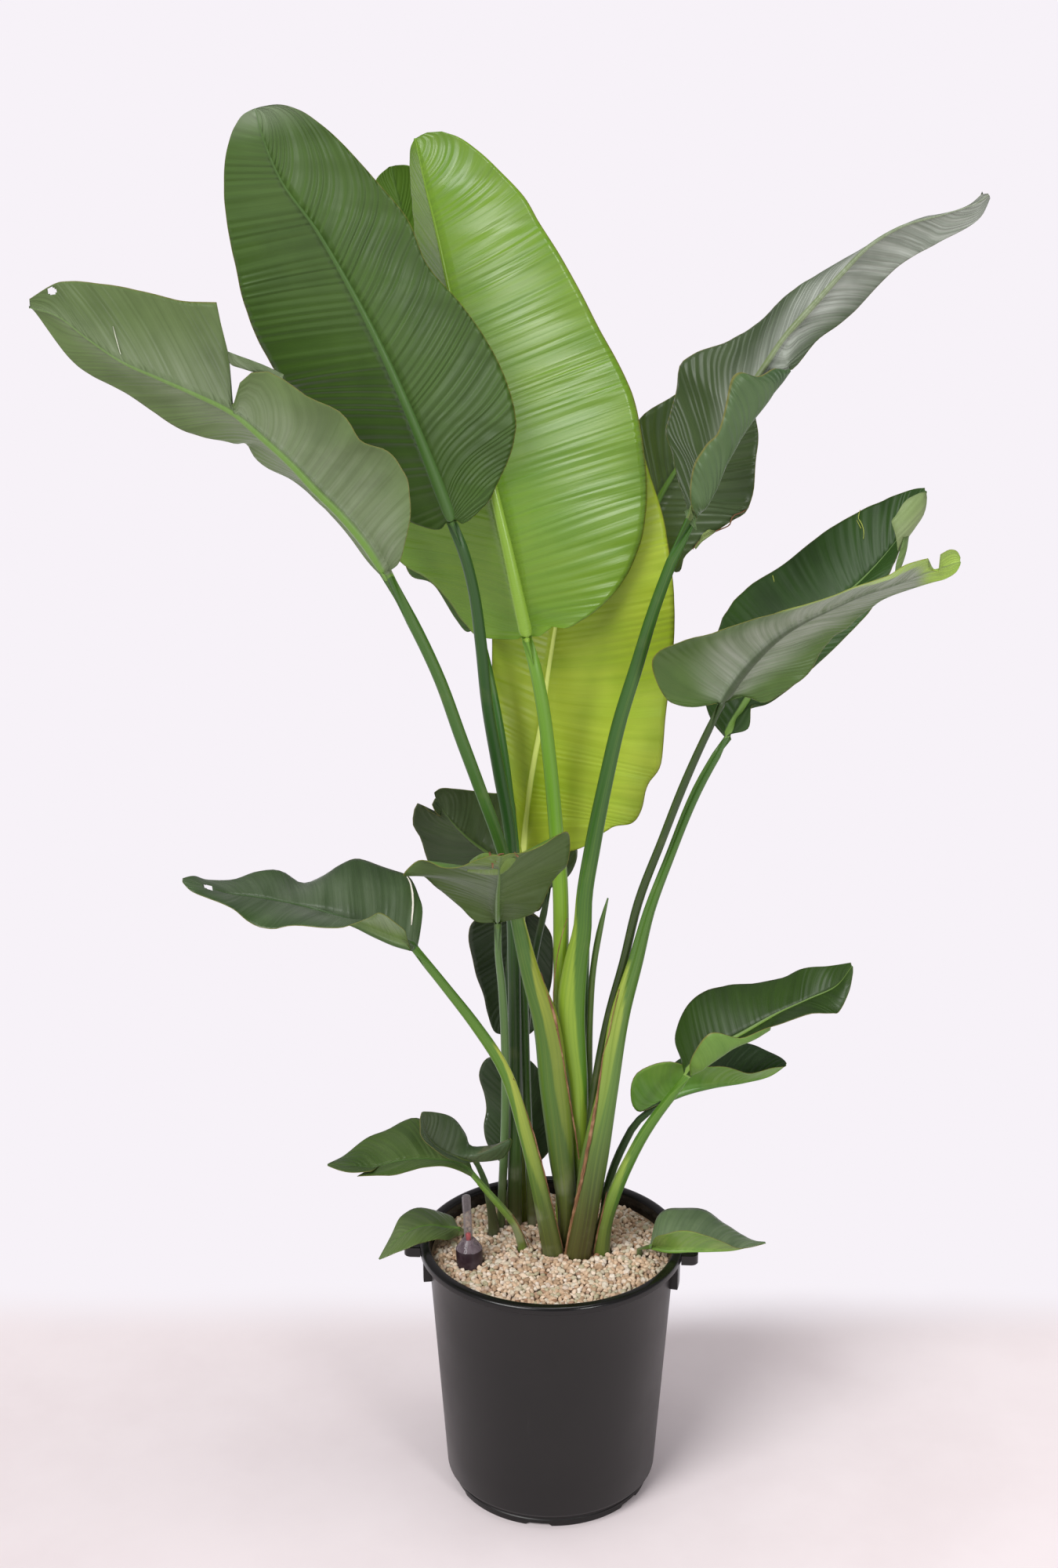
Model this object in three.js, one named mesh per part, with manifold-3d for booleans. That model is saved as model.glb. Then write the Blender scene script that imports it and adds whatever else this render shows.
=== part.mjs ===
// Potted bird of paradise: a clump of large paddle leaves in a black grow pot
// filled with pumice, with a water level indicator standing at the left front.
// Millimetres. The origin is on the pot's axis at floor level, +Z is up and
// the side seen from the front faces -Y.
import * as THREE from 'three';
import { mergeVertices } from 'three/addons/utils/BufferGeometryUtils.js';
import Module from 'manifold-3d';

const wasm = await Module();
wasm.setup();

// Pot
const POT_HEIGHT = 344;
const POT_RIM_RADIUS = 170;
const POT_WALL_TOP_RADIUS = 158.5;
const POT_WALL_LOW_RADIUS = 137;
const POT_FOOT_RADIUS = 128;
const POT_FOOT_HEIGHT = 18;
const POT_WALL = 3;
const POT_LIP_DEPTH = 10;
const POT_SIDES = 48;

// Lift lugs and the skirt rib under each
const LUG_WIDTH = 60;
const LUG_REACH = 188.5;
const LUG_ROOT = 165.5;
const LUG_TOP = POT_HEIGHT - 3;
const LUG_THICKNESS = 14;
const LUG_CORNER = 9;
const LUG_TURN = -3.4;
const LUG_BORDER = 3;
const LUG_RECESS = 1.2;
const SKIRT_DROP = 42;
const SKIRT_WIDTH = 64;
const SKIRT_RADIUS = 166;
const SKIRT_ROOT = 154;

// Drain notches in the foot edge
const NOTCH_COUNT = 6;
const NOTCH_WIDTH = 27;
const NOTCH_HEIGHT = 4;
const NOTCH_INNER_RADIUS = 112;
const NOTCH_TURN = -97.4;

// Substrate and the holes in it
const FIT_GAP = 0.35;
const SOIL_EDGE = 324;
const SOIL_MOUND = 6;
const SOIL_RELIEF = 3;
const SOIL_RINGS = 9;
const SOIL_SEED = 4211;
const SOIL_CLEAR = 336;
const STEM_FOOT = 266;
const HOLE_SIDES = 8;

// Water level indicator, along its own axis from the height of the soil
const INDICATOR_PLACE = [-104.5, -34, 330];
const INDICATOR_LEAN = -2.4;
const SLEEVE_RADIUS = 17;
const SLEEVE_WALL = 2;
const SLEEVE_TOP = 19.6;
const SLEEVE_FOOT = -292;
const CONE_TOP = 33;
const NECK_RADIUS = 7.6;
const LEDGE_RADIUS = 4.4;
const LEDGE_HEIGHT = 25;
const TUBE_RADIUS = 5.5;
const TUBE_WALL = 1.2;
const TUBE_TOP = 94;
const FLOAT_RADIUS = 11;
const FLOAT_BOTTOM = -262;
const FLOAT_TOP = -210;
const ROD_RADIUS = 3;
const TIP_RADIUS = 3.4;
const TIP_BOTTOM = 31;
const TIP_TOP = 41;
const SLOT_COUNT = 4;
const SLOT_WIDTH = 5;
const SLOT_HEIGHT = 30;
const SLOT_TURN = 9;
const INDICATOR_SIDES = 20;

// Leaves
const BLADE_THICKNESS = 1.2;
const BLADE_ARCH = 0.08;
const BLADE_WAVE = 3;
const BLADE_WAVES = 3;
const RIB_TIP = 1.6;
const RIB_SHARE_LIMIT = 0.4;
const CHANNEL = 0.72;
const TEAR_GAP = 0.012;
const FOLD_WEIGHT = 3;
const TIP_HALF_WIDTH = 1.5;
const RIB_FADE = 1.2;
const FOLD_FADE = 0.08;
const FOOT_TAPER = 0.85;
const STATION_EASE = 0.1;
const LARGE_LEAF = { across: [1, 0.6], stations: 14 };
const SMALL_LEAF = { across: [1], stations: 9 };

// Colours
const POT_BLACK = 0x2c2b2a;
const SOIL_TAN = 0xa89c84;
const SLEEVE_MAROON = 0x3a2228;
const TUBE_CLEAR = 0xdfe3e2;
const FLOAT_RED = 0xb8322e;
const GREEN_DARK = 0x2f4f22;
const GREEN_MID = 0x4a6e2c;
const GREEN_PALE = 0x6d8f35;
const GREEN_NEW = 0x9cb52c;
const GREEN_UNDER = 0x66805a;

// Each leaf, in millimetres from the origin.
// stem: x, y, z, width seen from the front, thickness front to back, soil upwards.
// rib: x, y, z from the top of the stem to the tip.
// left and right: the margins as seen from the leaf's upper face with its tip
// up, each point led by the share of the rib at which its vein leaves the rib.
// leftFold and rightFold: where a half of the blade folds back over itself.
// Points of a margin closer together than TEAR_GAP are the two lips of a tear.
const LEAVES = [
  {
    name: 'leaf_tall_left',
    colour: GREEN_DARK,
    size: LARGE_LEAF,
    stem: [
      [-48, 58, 336, 19, 17], [-47, 52, 583, 17, 15], [-49, 44, 762, 16, 14],
      [-53, 34, 887, 15, 13], [-66, 24, 970, 15, 13], [-79, 8, 1057, 14, 12],
      [-86, -8, 1140, 14, 12], [-94, -22, 1206, 13, 12], [-106, -34, 1256, 13, 12],
    ],
    rib: [
      [-117, -42, 1287], [-143, -56, 1362], [-165, -68, 1422], [-194, -78, 1492],
      [-223, -86, 1552], [-258, -93, 1615], [-293, -99, 1666], [-309, -104, 1708],
      [-316, -100, 1737],
    ],
    left: [
      [0, -112, -40, 1288], [0.02, -105, -30, 1282], [0.06, -82, -12, 1297], [0.14, -61, 0, 1331],
      [0.22, -50, 0, 1360], [0.3, -44, -6, 1396], [0.4, -57, -18, 1450], [0.48, -77, -28, 1490],
      [0.58, -107, -40, 1533], [0.68, -140, -54, 1573], [0.78, -162, -66, 1625],
      [0.85, -191, -78, 1661], [0.9, -223, -90, 1698], [0.935, -249, -98, 1722],
      [0.962, -271, -102, 1736], [0.985, -294, -102, 1741], [1, -314, -100, 1738],
    ],
    right: [
      [0, -123, -40, 1285], [0.02, -132, -30, 1275], [0.05, -162, -14, 1279],
      [0.12, -205, -2, 1316], [0.22, -249, -2, 1370], [0.34, -286, -8, 1426],
      [0.42, -310, -16, 1445], [0.48, -326, -22, 1476], [0.58, -341, -34, 1525],
      [0.68, -349, -46, 1562], [0.78, -356, -60, 1613], [0.86, -356, -72, 1658],
      [0.9, -353, -80, 1681], [0.935, -347, -88, 1702], [0.965, -339, -94, 1719],
      [0.985, -329, -98, 1731], [1, -317, -100, 1737],
    ],
  },
  {
    name: 'leaf_left_drooping',
    colour: GREEN_UNDER,
    size: LARGE_LEAF,
    stem: [
      [14, 4, 336, 16, 20], [18, 6, 362, 20, 24], [12, 3, 465, 33, 20], [2, 0, 561, 36, 22],
      [-8, -4, 650, 33, 20], [-27, -8, 716, 24, 18], [-42, -12, 784, 18, 16],
      [-60, -18, 876, 15, 13], [-87, -22, 959, 15, 13], [-109, -26, 1024, 15, 13],
      [-134, -32, 1100, 14, 12], [-164, -40, 1170, 14, 12],
    ],
    rib: [
      [-194, -52, 1230], [-216, -62, 1267], [-242, -70, 1301], [-268, -76, 1329],
      [-290, -80, 1355], [-323, -86, 1388], [-356, -92, 1418], [-393, -98, 1438],
      [-432, -106, 1457], [-468, -114, 1475], [-502, -124, 1501], [-533, -134, 1527],
      [-558, -142, 1536],
    ],
    left: [
      [0, -186, -58, 1234], [0.03, -177, -72, 1244], [0.08, -167, -92, 1275],
      [0.16, -161, -104, 1315], [0.22, -165, -108, 1350], [0.28, -183, -108, 1378],
      [0.34, -212, -108, 1391], [0.4, -238, -106, 1423], [0.44, -274, -106, 1439],
      [0.462, -293, -106, 1453], [0.478, -313, -106, 1463], [0.488, -331, -106, 1462],
      [0.494, -344, -104, 1451], [0.498, -352, -96, 1429], [0.503, -355, -94, 1426],
      [0.507, -355, -102, 1480], [0.512, -362, -106, 1516], [0.517, -365, -108, 1537],
      [0.54, -376, -110, 1538], [0.6, -401, -114, 1542], [0.68, -433, -120, 1550],
      [0.76, -472, -126, 1557], [0.86, -516, -132, 1562], [0.94, -534, -136, 1559],
      [1, -559, -142, 1544],
    ],
    right: [
      [0, -200, -48, 1227], [0.03, -213, -36, 1238], [0.08, -235, -30, 1268],
      [0.16, -262, -28, 1300], [0.24, -292, -30, 1329], [0.32, -338, -36, 1354],
      [0.36, -347, -40, 1371], [0.42, -359, -48, 1376], [0.5, -401, -58, 1389],
      [0.6, -440, -72, 1412], [0.7, -475, -88, 1440], [0.8, -512, -104, 1465],
      [0.88, -531, -118, 1489], [0.95, -554, -134, 1530], [1, -559, -142, 1538],
    ],
  },
  {
    name: 'leaf_tall_light',
    colour: GREEN_PALE,
    size: LARGE_LEAF,
    stem: [
      [13, 34, 336, 14, 14], [12, 32, 528, 16, 15], [11, 28, 703, 19, 17], [9, 24, 829, 19, 17],
      [4, 22, 894, 18, 16], [-3, 20, 972, 17, 15], [-13, 18, 1054, 16, 14],
      [-22, 16, 1101, 15, 13],
    ],
    rib: [
      [-32, 12, 1138], [-41, 8, 1183], [-55, 6, 1249], [-69, 6, 1310], [-86, 6, 1386],
      [-103, 4, 1467], [-119, 2, 1541], [-133, 2, 1609], [-146, 4, 1663], [-154, 4, 1704],
    ],
    left: [
      [0, -26, 14, 1138], [0.01, -16, 24, 1136], [0.02, -1, 34, 1145], [0.035, 15, 42, 1141],
      [0.06, 34, 50, 1149], [0.09, 55, 56, 1162], [0.13, 81, 62, 1189], [0.18, 102, 66, 1232],
      [0.24, 110, 68, 1279], [0.3, 110, 68, 1312], [0.38, 104, 66, 1360], [0.46, 93, 62, 1412],
      [0.53, 75, 58, 1452], [0.6, 52, 54, 1492], [0.67, 31, 48, 1532], [0.74, 7, 42, 1574],
      [0.81, -18, 36, 1613], [0.86, -35, 32, 1641], [0.905, -60, 26, 1667], [0.94, -85, 20, 1690],
      [0.965, -107, 14, 1705], [0.983, -125, 8, 1711], [0.994, -141, 5, 1710], [1, -153, 4, 1705],
    ],
    right: [
      [0, -38, 14, 1137], [0.012, -47, 24, 1132], [0.025, -82, 46, 1128], [0.05, -106, 56, 1143],
      [0.08, -122, 62, 1165], [0.12, -146, 68, 1191], [0.18, -184, 74, 1216],
      [0.28, -204, 80, 1277], [0.4, -209, 80, 1361], [0.52, -202, 74, 1444],
      [0.62, -187, 66, 1508], [0.72, -162, 58, 1559], [0.8, -158, 48, 1597], [0.9, -161, 34, 1649],
      [0.96, -161, 18, 1681], [0.985, -159, 8, 1695], [1, -155, 4, 1703],
    ],
  },
  {
    name: 'leaf_new_bright',
    colour: GREEN_NEW,
    size: LARGE_LEAF,
    stem: [
      [-37, 79, 336, 15, 14], [-38, 80, 504, 13, 12], [-40, 84, 668, 12, 11],
      [-39, 86, 764, 11, 10],
    ],
    rib: [
      [-36, 86, 842], [-32, 86, 899], [-23, 86, 961], [-13, 88, 1017], [-6, 90, 1072],
      [2, 92, 1124], [14, 96, 1207], [27, 102, 1292], [39, 108, 1375], [47, 114, 1439],
      [50, 120, 1477],
    ],
    left: [
      [0, -41, 86, 842], [0.02, -50, 78, 855], [0.06, -48, 68, 878], [0.1, -45, 62, 907],
      [0.15, -59, 66, 940], [0.22, -67, 70, 989], [0.3, -72, 74, 1038], [0.36, -74, 76, 1073],
      [0.42, -74, 78, 1108], [0.54, -72, 84, 1190], [0.68, -48, 92, 1284], [0.82, -15, 100, 1377],
      [0.93, 22, 112, 1449], [1, 47, 120, 1479],
    ],
    right: [
      [0, -31, 86, 842], [0.02, -14, 78, 839], [0.04, 27, 66, 851], [0.08, 65, 60, 877],
      [0.11, 78, 60, 884], [0.14, 97, 62, 887], [0.18, 110, 66, 903], [0.22, 116, 68, 932],
      [0.28, 133, 72, 961], [0.34, 138, 76, 1020], [0.42, 147, 82, 1103], [0.5, 147, 86, 1159],
      [0.6, 139, 90, 1225], [0.67, 131, 94, 1269], [0.74, 114, 98, 1321], [0.84, 93, 104, 1385],
      [0.94, 70, 112, 1449], [1, 52, 120, 1479],
    ],
  },
  {
    name: 'leaf_hidden_left',
    colour: GREEN_MID,
    size: LARGE_LEAF,
    stem: [
      [-25, 62, 336, 12, 12], [-32, 66, 511, 12, 11], [-40, 58, 754, 12, 11],
      [-51, 52, 902, 12, 10], [-63, 51, 1003, 11, 10], [-79, 64, 1088, 10, 9],
    ],
    rib: [
      [-90, 82, 1132], [-98, 92, 1188], [-107, 100, 1264], [-122, 106, 1348], [-139, 110, 1440],
      [-156, 112, 1530], [-172, 112, 1602], [-184, 110, 1653], [-187, 108, 1670],
    ],
    left: [
      [0, -86, 86, 1132], [0.02, -74, 98, 1126], [0.06, -36, 100, 1144], [0.12, -11, 110, 1194],
      [0.22, 0, 118, 1270], [0.34, -4, 122, 1354], [0.48, -22, 124, 1447], [0.62, -52, 122, 1529],
      [0.76, -92, 118, 1601], [0.88, -137, 114, 1652], [0.96, -169, 110, 1671],
      [1, -183, 108, 1671],
    ],
    right: [
      [0, -94, 86, 1130], [0.02, -104, 96, 1123], [0.05, -118, 106, 1136], [0.09, -144, 114, 1176],
      [0.14, -173, 120, 1187], [0.24, -184, 126, 1258], [0.36, -196, 128, 1353],
      [0.5, -213, 128, 1447], [0.62, -220, 126, 1520], [0.74, -220, 122, 1583],
      [0.86, -217, 118, 1626], [0.94, -204, 114, 1657], [1, -189, 108, 1670],
    ],
  },
  {
    name: 'leaf_right_twisted',
    colour: GREEN_UNDER,
    size: LARGE_LEAF,
    stem: [
      [34, 22, 336, 20, 18], [34, 16, 549, 26, 20], [25, 12, 667, 38, 20], [30, 10, 721, 32, 19],
      [38, 8, 774, 24, 18], [39, 8, 803, 22, 18], [50, 6, 883, 21, 17], [65, 4, 967, 19, 16],
      [80, 2, 1039, 18, 15], [98, 0, 1103, 17, 14], [118, -4, 1176, 15, 13],
      [137, -8, 1233, 14, 12],
    ],
    rib: [
      [159, -14, 1291], [166, -18, 1316], [177, -22, 1351], [190, -24, 1385], [209, -24, 1418],
      [231, -22, 1453], [260, -20, 1495], [291, -18, 1530], [322, -16, 1564], [346, -14, 1588],
      [382, -12, 1610], [433, -12, 1625], [467, -14, 1638], [476, -16, 1645],
    ],
    left: [
      [0, 164, -18, 1286], [0.03, 154, -46, 1310], [0.07, 154, -62, 1349], [0.12, 167, -70, 1376],
      [0.17, 182, -74, 1395], [0.22, 190, -76, 1430], [0.26, 194, -76, 1452],
      [0.31, 205, -70, 1459], [0.35, 223, -60, 1453], [0.4, 244, -44, 1460],
      [0.45, 265, -30, 1456], [0.51, 293, -16, 1486], [0.58, 318, -8, 1503], [0.66, 341, 0, 1521],
      [0.74, 362, 4, 1544], [0.8, 381, 4, 1564], [0.87, 403, 0, 1580], [0.93, 426, -4, 1593],
      [0.975, 470, -10, 1621], [1, 479, -16, 1644],
    ],
    right: [
      [0, 154, -12, 1291], [0.02, 151, -2, 1302], [0.05, 143, 14, 1325], [0.09, 137, 30, 1353],
      [0.13, 129, 40, 1376], [0.17, 134, 48, 1396], [0.22, 141, 52, 1418], [0.27, 148, 52, 1454],
      [0.3, 161, 50, 1464], [0.36, 196, 44, 1477], [0.44, 228, 34, 1499], [0.53, 263, 22, 1535],
      [0.63, 303, 12, 1561], [0.72, 345, 4, 1587], [0.8, 378, -2, 1608], [0.88, 409, -6, 1621],
      [0.94, 439, -10, 1627], [0.98, 460, -12, 1637], [1, 470, -14, 1647],
    ],
    leftFold: [
      [0, 167, -20, 1292], [0.03, 176, -44, 1301], [0.07, 188, -52, 1320], [0.12, 198, -52, 1345],
      [0.17, 213, -50, 1375], [0.22, 228, -48, 1395], [0.26, 243, -46, 1412],
      [0.31, 255, -44, 1429], [0.35, 262, -40, 1440], [0.4, 270, -34, 1453],
    ],
  },
  {
    name: 'leaf_dark_right',
    colour: GREEN_DARK,
    size: LARGE_LEAF,
    stem: [
      [42, 53, 336, 13, 13], [44, 46, 521, 13, 12], [41, 50, 704, 12, 11], [43, 56, 786, 12, 11],
      [52, 76, 873, 11, 10], [66, 100, 968, 11, 10], [79, 124, 1072, 10, 10],
      [94, 132, 1160, 10, 9],
    ],
    rib: [
      [110, 134, 1228], [130, 130, 1284], [148, 126, 1316], [168, 122, 1350], [193, 120, 1387],
      [216, 122, 1420], [232, 126, 1439],
    ],
    left: [
      [0, 116, 134, 1226], [0.03, 130, 134, 1199], [0.06, 151, 134, 1189], [0.12, 162, 130, 1210],
      [0.2, 192, 126, 1236], [0.27, 217, 122, 1255], [0.34, 233, 118, 1266],
      [0.41, 240, 116, 1286], [0.54, 243, 114, 1325], [0.68, 245, 114, 1360],
      [0.8, 241, 116, 1384], [0.92, 239, 120, 1415], [1, 235, 126, 1438],
    ],
    right: [
      [0, 106, 136, 1229], [0.03, 97, 146, 1245], [0.1, 93, 152, 1282], [0.22, 94, 152, 1330],
      [0.36, 104, 148, 1374], [0.5, 141, 142, 1401], [0.64, 168, 136, 1420], [0.8, 195, 132, 1437],
      [0.92, 216, 128, 1445], [1, 231, 126, 1443],
    ],
  },
  {
    name: 'leaf_cupped_front',
    colour: GREEN_UNDER,
    size: LARGE_LEAF,
    stem: [
      [-66, 58, 336, 11, 11], [-59, 36, 526, 11, 10], [-59, 30, 593, 11, 10],
      [-63, 14, 691, 10, 9], [-67, 2, 740, 9, 9],
    ],
    rib: [
      [-67, -16, 787], [-67, -50, 817], [-66, -92, 851], [-64, -128, 881], [-63, -158, 904],
      [-62, -180, 924], [-60, -196, 938],
    ],
    left: [
      [0, -63, -18, 788], [0.04, -53, -24, 793], [0.12, -37, -36, 801], [0.22, -23, -52, 814],
      [0.32, -13, -68, 834], [0.42, -2, -84, 864], [0.52, 11, -98, 885], [0.6, 16, -110, 903],
      [0.68, 18, -122, 929], [0.76, 15, -136, 944], [0.83, 0, -150, 942], [0.89, -16, -164, 939],
      [0.95, -35, -180, 937], [1, -53, -196, 941],
    ],
    right: [
      [0, -71, -18, 788], [0.04, -89, -26, 791], [0.12, -112, -44, 818], [0.22, -131, -66, 845],
      [0.34, -151, -88, 871], [0.46, -165, -106, 883], [0.56, -175, -120, 891],
      [0.66, -158, -134, 907], [0.74, -144, -146, 910], [0.82, -128, -158, 911],
      [0.9, -105, -172, 918], [0.95, -90, -182, 928], [1, -67, -196, 940],
    ],
  },
  {
    name: 'leaf_arching_left',
    colour: GREEN_MID,
    size: LARGE_LEAF,
    stem: [
      [1, -14, 336, 27, 20], [-14, -16, 416, 22, 18], [-33, -20, 503, 19, 16],
      [-61, -26, 599, 17, 15], [-95, -34, 660, 15, 13], [-125, -42, 706, 13, 12],
      [-150, -50, 744, 12, 11],
    ],
    rib: [
      [-168, -58, 771], [-186, -64, 778], [-212, -70, 792], [-237, -74, 807], [-271, -76, 821],
      [-311, -78, 834], [-349, -82, 844], [-385, -88, 852], [-415, -96, 865], [-434, -104, 875],
    ],
    left: [
      [0, -172, -62, 770], [0.03, -174, -84, 793], [0.07, -176, -100, 811],
      [0.12, -188, -114, 827], [0.18, -203, -124, 840], [0.25, -217, -134, 838],
      [0.33, -238, -140, 833], [0.42, -265, -142, 830], [0.52, -304, -140, 831],
      [0.62, -333, -134, 827], [0.7, -355, -128, 834], [0.79, -373, -122, 845],
      [0.88, -401, -116, 856], [0.95, -424, -110, 864], [1, -435, -104, 873],
    ],
    right: [
      [0, -163, -54, 772], [0.02, -161, -40, 781], [0.05, -159, -16, 800], [0.09, -164, 2, 815],
      [0.14, -174, 14, 835], [0.19, -191, 20, 841], [0.26, -216, 20, 849], [0.34, -240, 16, 857],
      [0.42, -259, 8, 854], [0.5, -282, -4, 844], [0.57, -305, -14, 839], [0.64, -327, -24, 855],
      [0.72, -354, -36, 861], [0.8, -383, -52, 857], [0.87, -409, -70, 863],
      [0.94, -424, -88, 874], [1, -435, -104, 877],
    ],
  },
  {
    name: 'leaf_low_right',
    colour: GREEN_MID,
    size: LARGE_LEAF,
    stem: [
      [64, -9, 336, 23, 18], [66, -9, 359, 21, 17], [79, -11, 413, 19, 16], [98, -14, 463, 16, 14],
      [115, -17, 501, 15, 13], [133, -21, 533, 13, 12], [150, -25, 560, 12, 11],
    ],
    rib: [
      [168, -30, 590], [189, -34, 614], [213, -36, 632], [236, -38, 648], [272, -42, 674],
      [313, -46, 698], [346, -52, 720], [361, -58, 747],
    ],
    left: [
      [0, 164, -28, 589], [0.03, 161, -14, 601], [0.08, 154, 2, 618], [0.14, 157, 12, 637],
      [0.22, 170, 20, 660], [0.32, 190, 22, 679], [0.44, 219, 20, 688], [0.56, 252, 12, 693],
      [0.66, 284, 0, 708], [0.76, 305, -14, 725], [0.88, 336, -34, 737], [1, 361, -56, 751],
    ],
    right: [
      [0, 171, -34, 590], [0.04, 168, -56, 616], [0.1, 176, -72, 648], [0.17, 186, -80, 666],
      [0.24, 197, -82, 669], [0.32, 213, -80, 664], [0.4, 228, -76, 661], [0.5, 256, -74, 672],
      [0.6, 277, -78, 680], [0.7, 309, -84, 696], [0.78, 334, -84, 697], [0.86, 345, -78, 696],
      [0.92, 353, -70, 707], [0.97, 360, -62, 724], [1, 363, -58, 743],
    ],
    rightFold: [
      [0, 174, -36, 591], [0.04, 187, -62, 608], [0.1, 201, -74, 624], [0.17, 216, -78, 636],
      [0.24, 229, -78, 645], [0.32, 240, -76, 650], [0.4, 251, -74, 657], [0.5, 265, -70, 666],
    ],
  },
  {
    name: 'leaf_low_right_back',
    colour: GREEN_DARK,
    size: SMALL_LEAF,
    stem: [
      [66, 16, 336, 12, 12], [73, 22, 410, 11, 11], [92, 26, 464, 11, 10], [108, 28, 494, 10, 9],
      [124, 28, 510, 9, 9],
    ],
    rib: [
      [142, 26, 525], [167, 22, 538], [206, 18, 550], [244, 16, 557], [278, 14, 568],
      [295, 12, 583],
    ],
    left: [
      [0, 140, 30, 526], [0.05, 145, 46, 537], [0.12, 153, 62, 555], [0.25, 178, 74, 568],
      [0.42, 213, 74, 581], [0.6, 250, 64, 588], [0.8, 280, 42, 586], [0.92, 293, 24, 585],
      [1, 296, 12, 585],
    ],
    right: [
      [0, 138, 22, 524], [0.03, 113, 14, 517], [0.06, 103, 10, 526], [0.1, 99, 4, 550],
      [0.15, 104, -2, 574], [0.21, 124, -8, 590], [0.28, 147, -10, 596], [0.36, 170, -12, 593],
      [0.48, 203, -12, 591], [0.6, 230, -10, 585], [0.72, 249, -6, 580], [0.86, 277, 2, 583],
      [1, 295, 12, 581],
    ],
  },
  {
    name: 'leaf_small_left',
    colour: GREEN_MID,
    size: SMALL_LEAF,
    stem: [
      [-38, -4, 336, 12, 12], [-46, -8, 366, 11, 11], [-62, -14, 393, 10, 10],
      [-78, -20, 417, 9, 9], [-91, -26, 437, 8, 8],
    ],
    rib: [
      [-103, -32, 455], [-122, -38, 470], [-142, -44, 477], [-175, -54, 484], [-199, -62, 484],
      [-220, -68, 481], [-252, -76, 488], [-277, -84, 493],
    ],
    left: [
      [0, -103, -36, 452], [0.06, -114, -46, 464], [0.16, -135, -58, 478], [0.28, -160, -72, 483],
      [0.4, -181, -82, 482], [0.5, -196, -88, 482], [0.6, -217, -92, 483], [0.655, -240, -94, 482],
      [0.66, -213, -68, 483], [0.665, -223, -92, 488], [0.76, -241, -94, 488],
      [0.88, -261, -92, 490], [1, -277, -84, 492],
    ],
    right: [
      [0, -101, -28, 458], [0.04, -106, -10, 463], [0.12, -116, 8, 471], [0.24, -134, 20, 484],
      [0.36, -154, 24, 496], [0.46, -171, 20, 502], [0.56, -192, 10, 503], [0.66, -212, -6, 502],
      [0.76, -233, -24, 499], [0.86, -256, -48, 490], [1, -278, -84, 494],
    ],
  },
  {
    name: 'leaf_small_folded',
    colour: GREEN_MID,
    size: SMALL_LEAF,
    stem: [
      [-75, 40, 336, 15, 14], [-77, 32, 360, 12, 11], [-80, 18, 387, 10, 9], [-86, 0, 427, 8, 8],
      [-93, -14, 454, 7, 7],
    ],
    rib: [
      [-97, -24, 469], [-112, -40, 479], [-131, -56, 494], [-147, -68, 513], [-156, -76, 532],
      [-159, -82, 552], [-159, -86, 566],
    ],
    left: [
      [0, -100, -28, 468], [0.1, -110, -46, 476], [0.25, -129, -66, 493], [0.42, -148, -82, 515],
      [0.6, -161, -92, 538], [0.8, -162, -94, 557], [1, -160, -88, 567],
    ],
    right: [
      [0, -93, -24, 469], [0.03, -78, -22, 468], [0.07, -63, -22, 470], [0.11, -54, -22, 483],
      [0.15, -51, -24, 499], [0.2, -67, -22, 490], [0.28, -87, -20, 486], [0.36, -103, -22, 488],
      [0.46, -109, -30, 507], [0.58, -116, -40, 529], [0.72, -129, -54, 546],
      [0.86, -144, -70, 558], [1, -157, -86, 567],
    ],
  },
  {
    name: 'leaf_rim_left',
    colour: GREEN_PALE,
    size: SMALL_LEAF,
    stem: [
      [-112, 28, 336, 7, 7],
    ],
    rib: [
      [-120, 21, 347], [-136, 14, 350], [-153, 4, 359], [-172, -8, 363], [-188, -20, 361],
      [-204, -34, 353], [-219, -48, 341],
    ],
    left: [
      [0, -122, 18, 336], [0.08, -131, 0, 341], [0.2, -146, -16, 351], [0.36, -164, -28, 353],
      [0.52, -178, -38, 353], [0.7, -195, -44, 349], [0.86, -209, -47, 344], [1, -219, -48, 340],
    ],
    right: [
      [0, -118, 24, 341], [0.06, -123, 34, 344], [0.14, -128, 40, 351], [0.24, -141, 42, 357],
      [0.36, -162, 36, 365], [0.48, -181, 26, 371], [0.6, -193, 12, 370], [0.76, -202, -8, 361],
      [0.9, -212, -32, 350], [1, -220, -48, 341],
    ],
  },
  {
    name: 'leaf_rim_right',
    colour: GREEN_PALE,
    size: SMALL_LEAF,
    stem: [
      [113, -14, 336, 7, 7],
    ],
    rib: [
      [126, -30, 348], [146, -44, 350], [175, -52, 355], [204, -52, 355], [229, -50, 355],
      [252, -46, 358], [271, -42, 361],
    ],
    left: [
      [0, 126, -20, 346], [0.04, 130, 0, 352], [0.12, 136, 20, 360], [0.22, 150, 32, 367],
      [0.34, 172, 36, 371], [0.48, 198, 32, 365], [0.64, 224, 14, 358], [0.8, 246, -8, 352],
      [0.92, 260, -30, 357], [1, 272, -42, 362],
    ],
    right: [
      [0, 127, -34, 348], [0.05, 126, -54, 367], [0.12, 131, -68, 385], [0.24, 150, -76, 395],
      [0.36, 171, -78, 396], [0.5, 195, -76, 390], [0.64, 216, -70, 376], [0.78, 234, -62, 365],
      [0.9, 253, -52, 361], [1, 271, -42, 360],
    ],
  },
  {
    name: 'leaf_dark_left',
    colour: GREEN_DARK,
    size: SMALL_LEAF,
    stem: [
      [-32, 94, 336, 10, 10], [-36, 96, 496, 10, 10], [-33, 100, 595, 10, 9],
      [-19, 108, 707, 9, 9], [-10, 112, 749, 9, 8],
    ],
    rib: [
      [-4, 118, 777], [-24, 122, 791], [-52, 126, 807], [-82, 128, 825], [-109, 130, 846],
      [-129, 130, 868], [-141, 128, 886], [-147, 124, 900],
    ],
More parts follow.
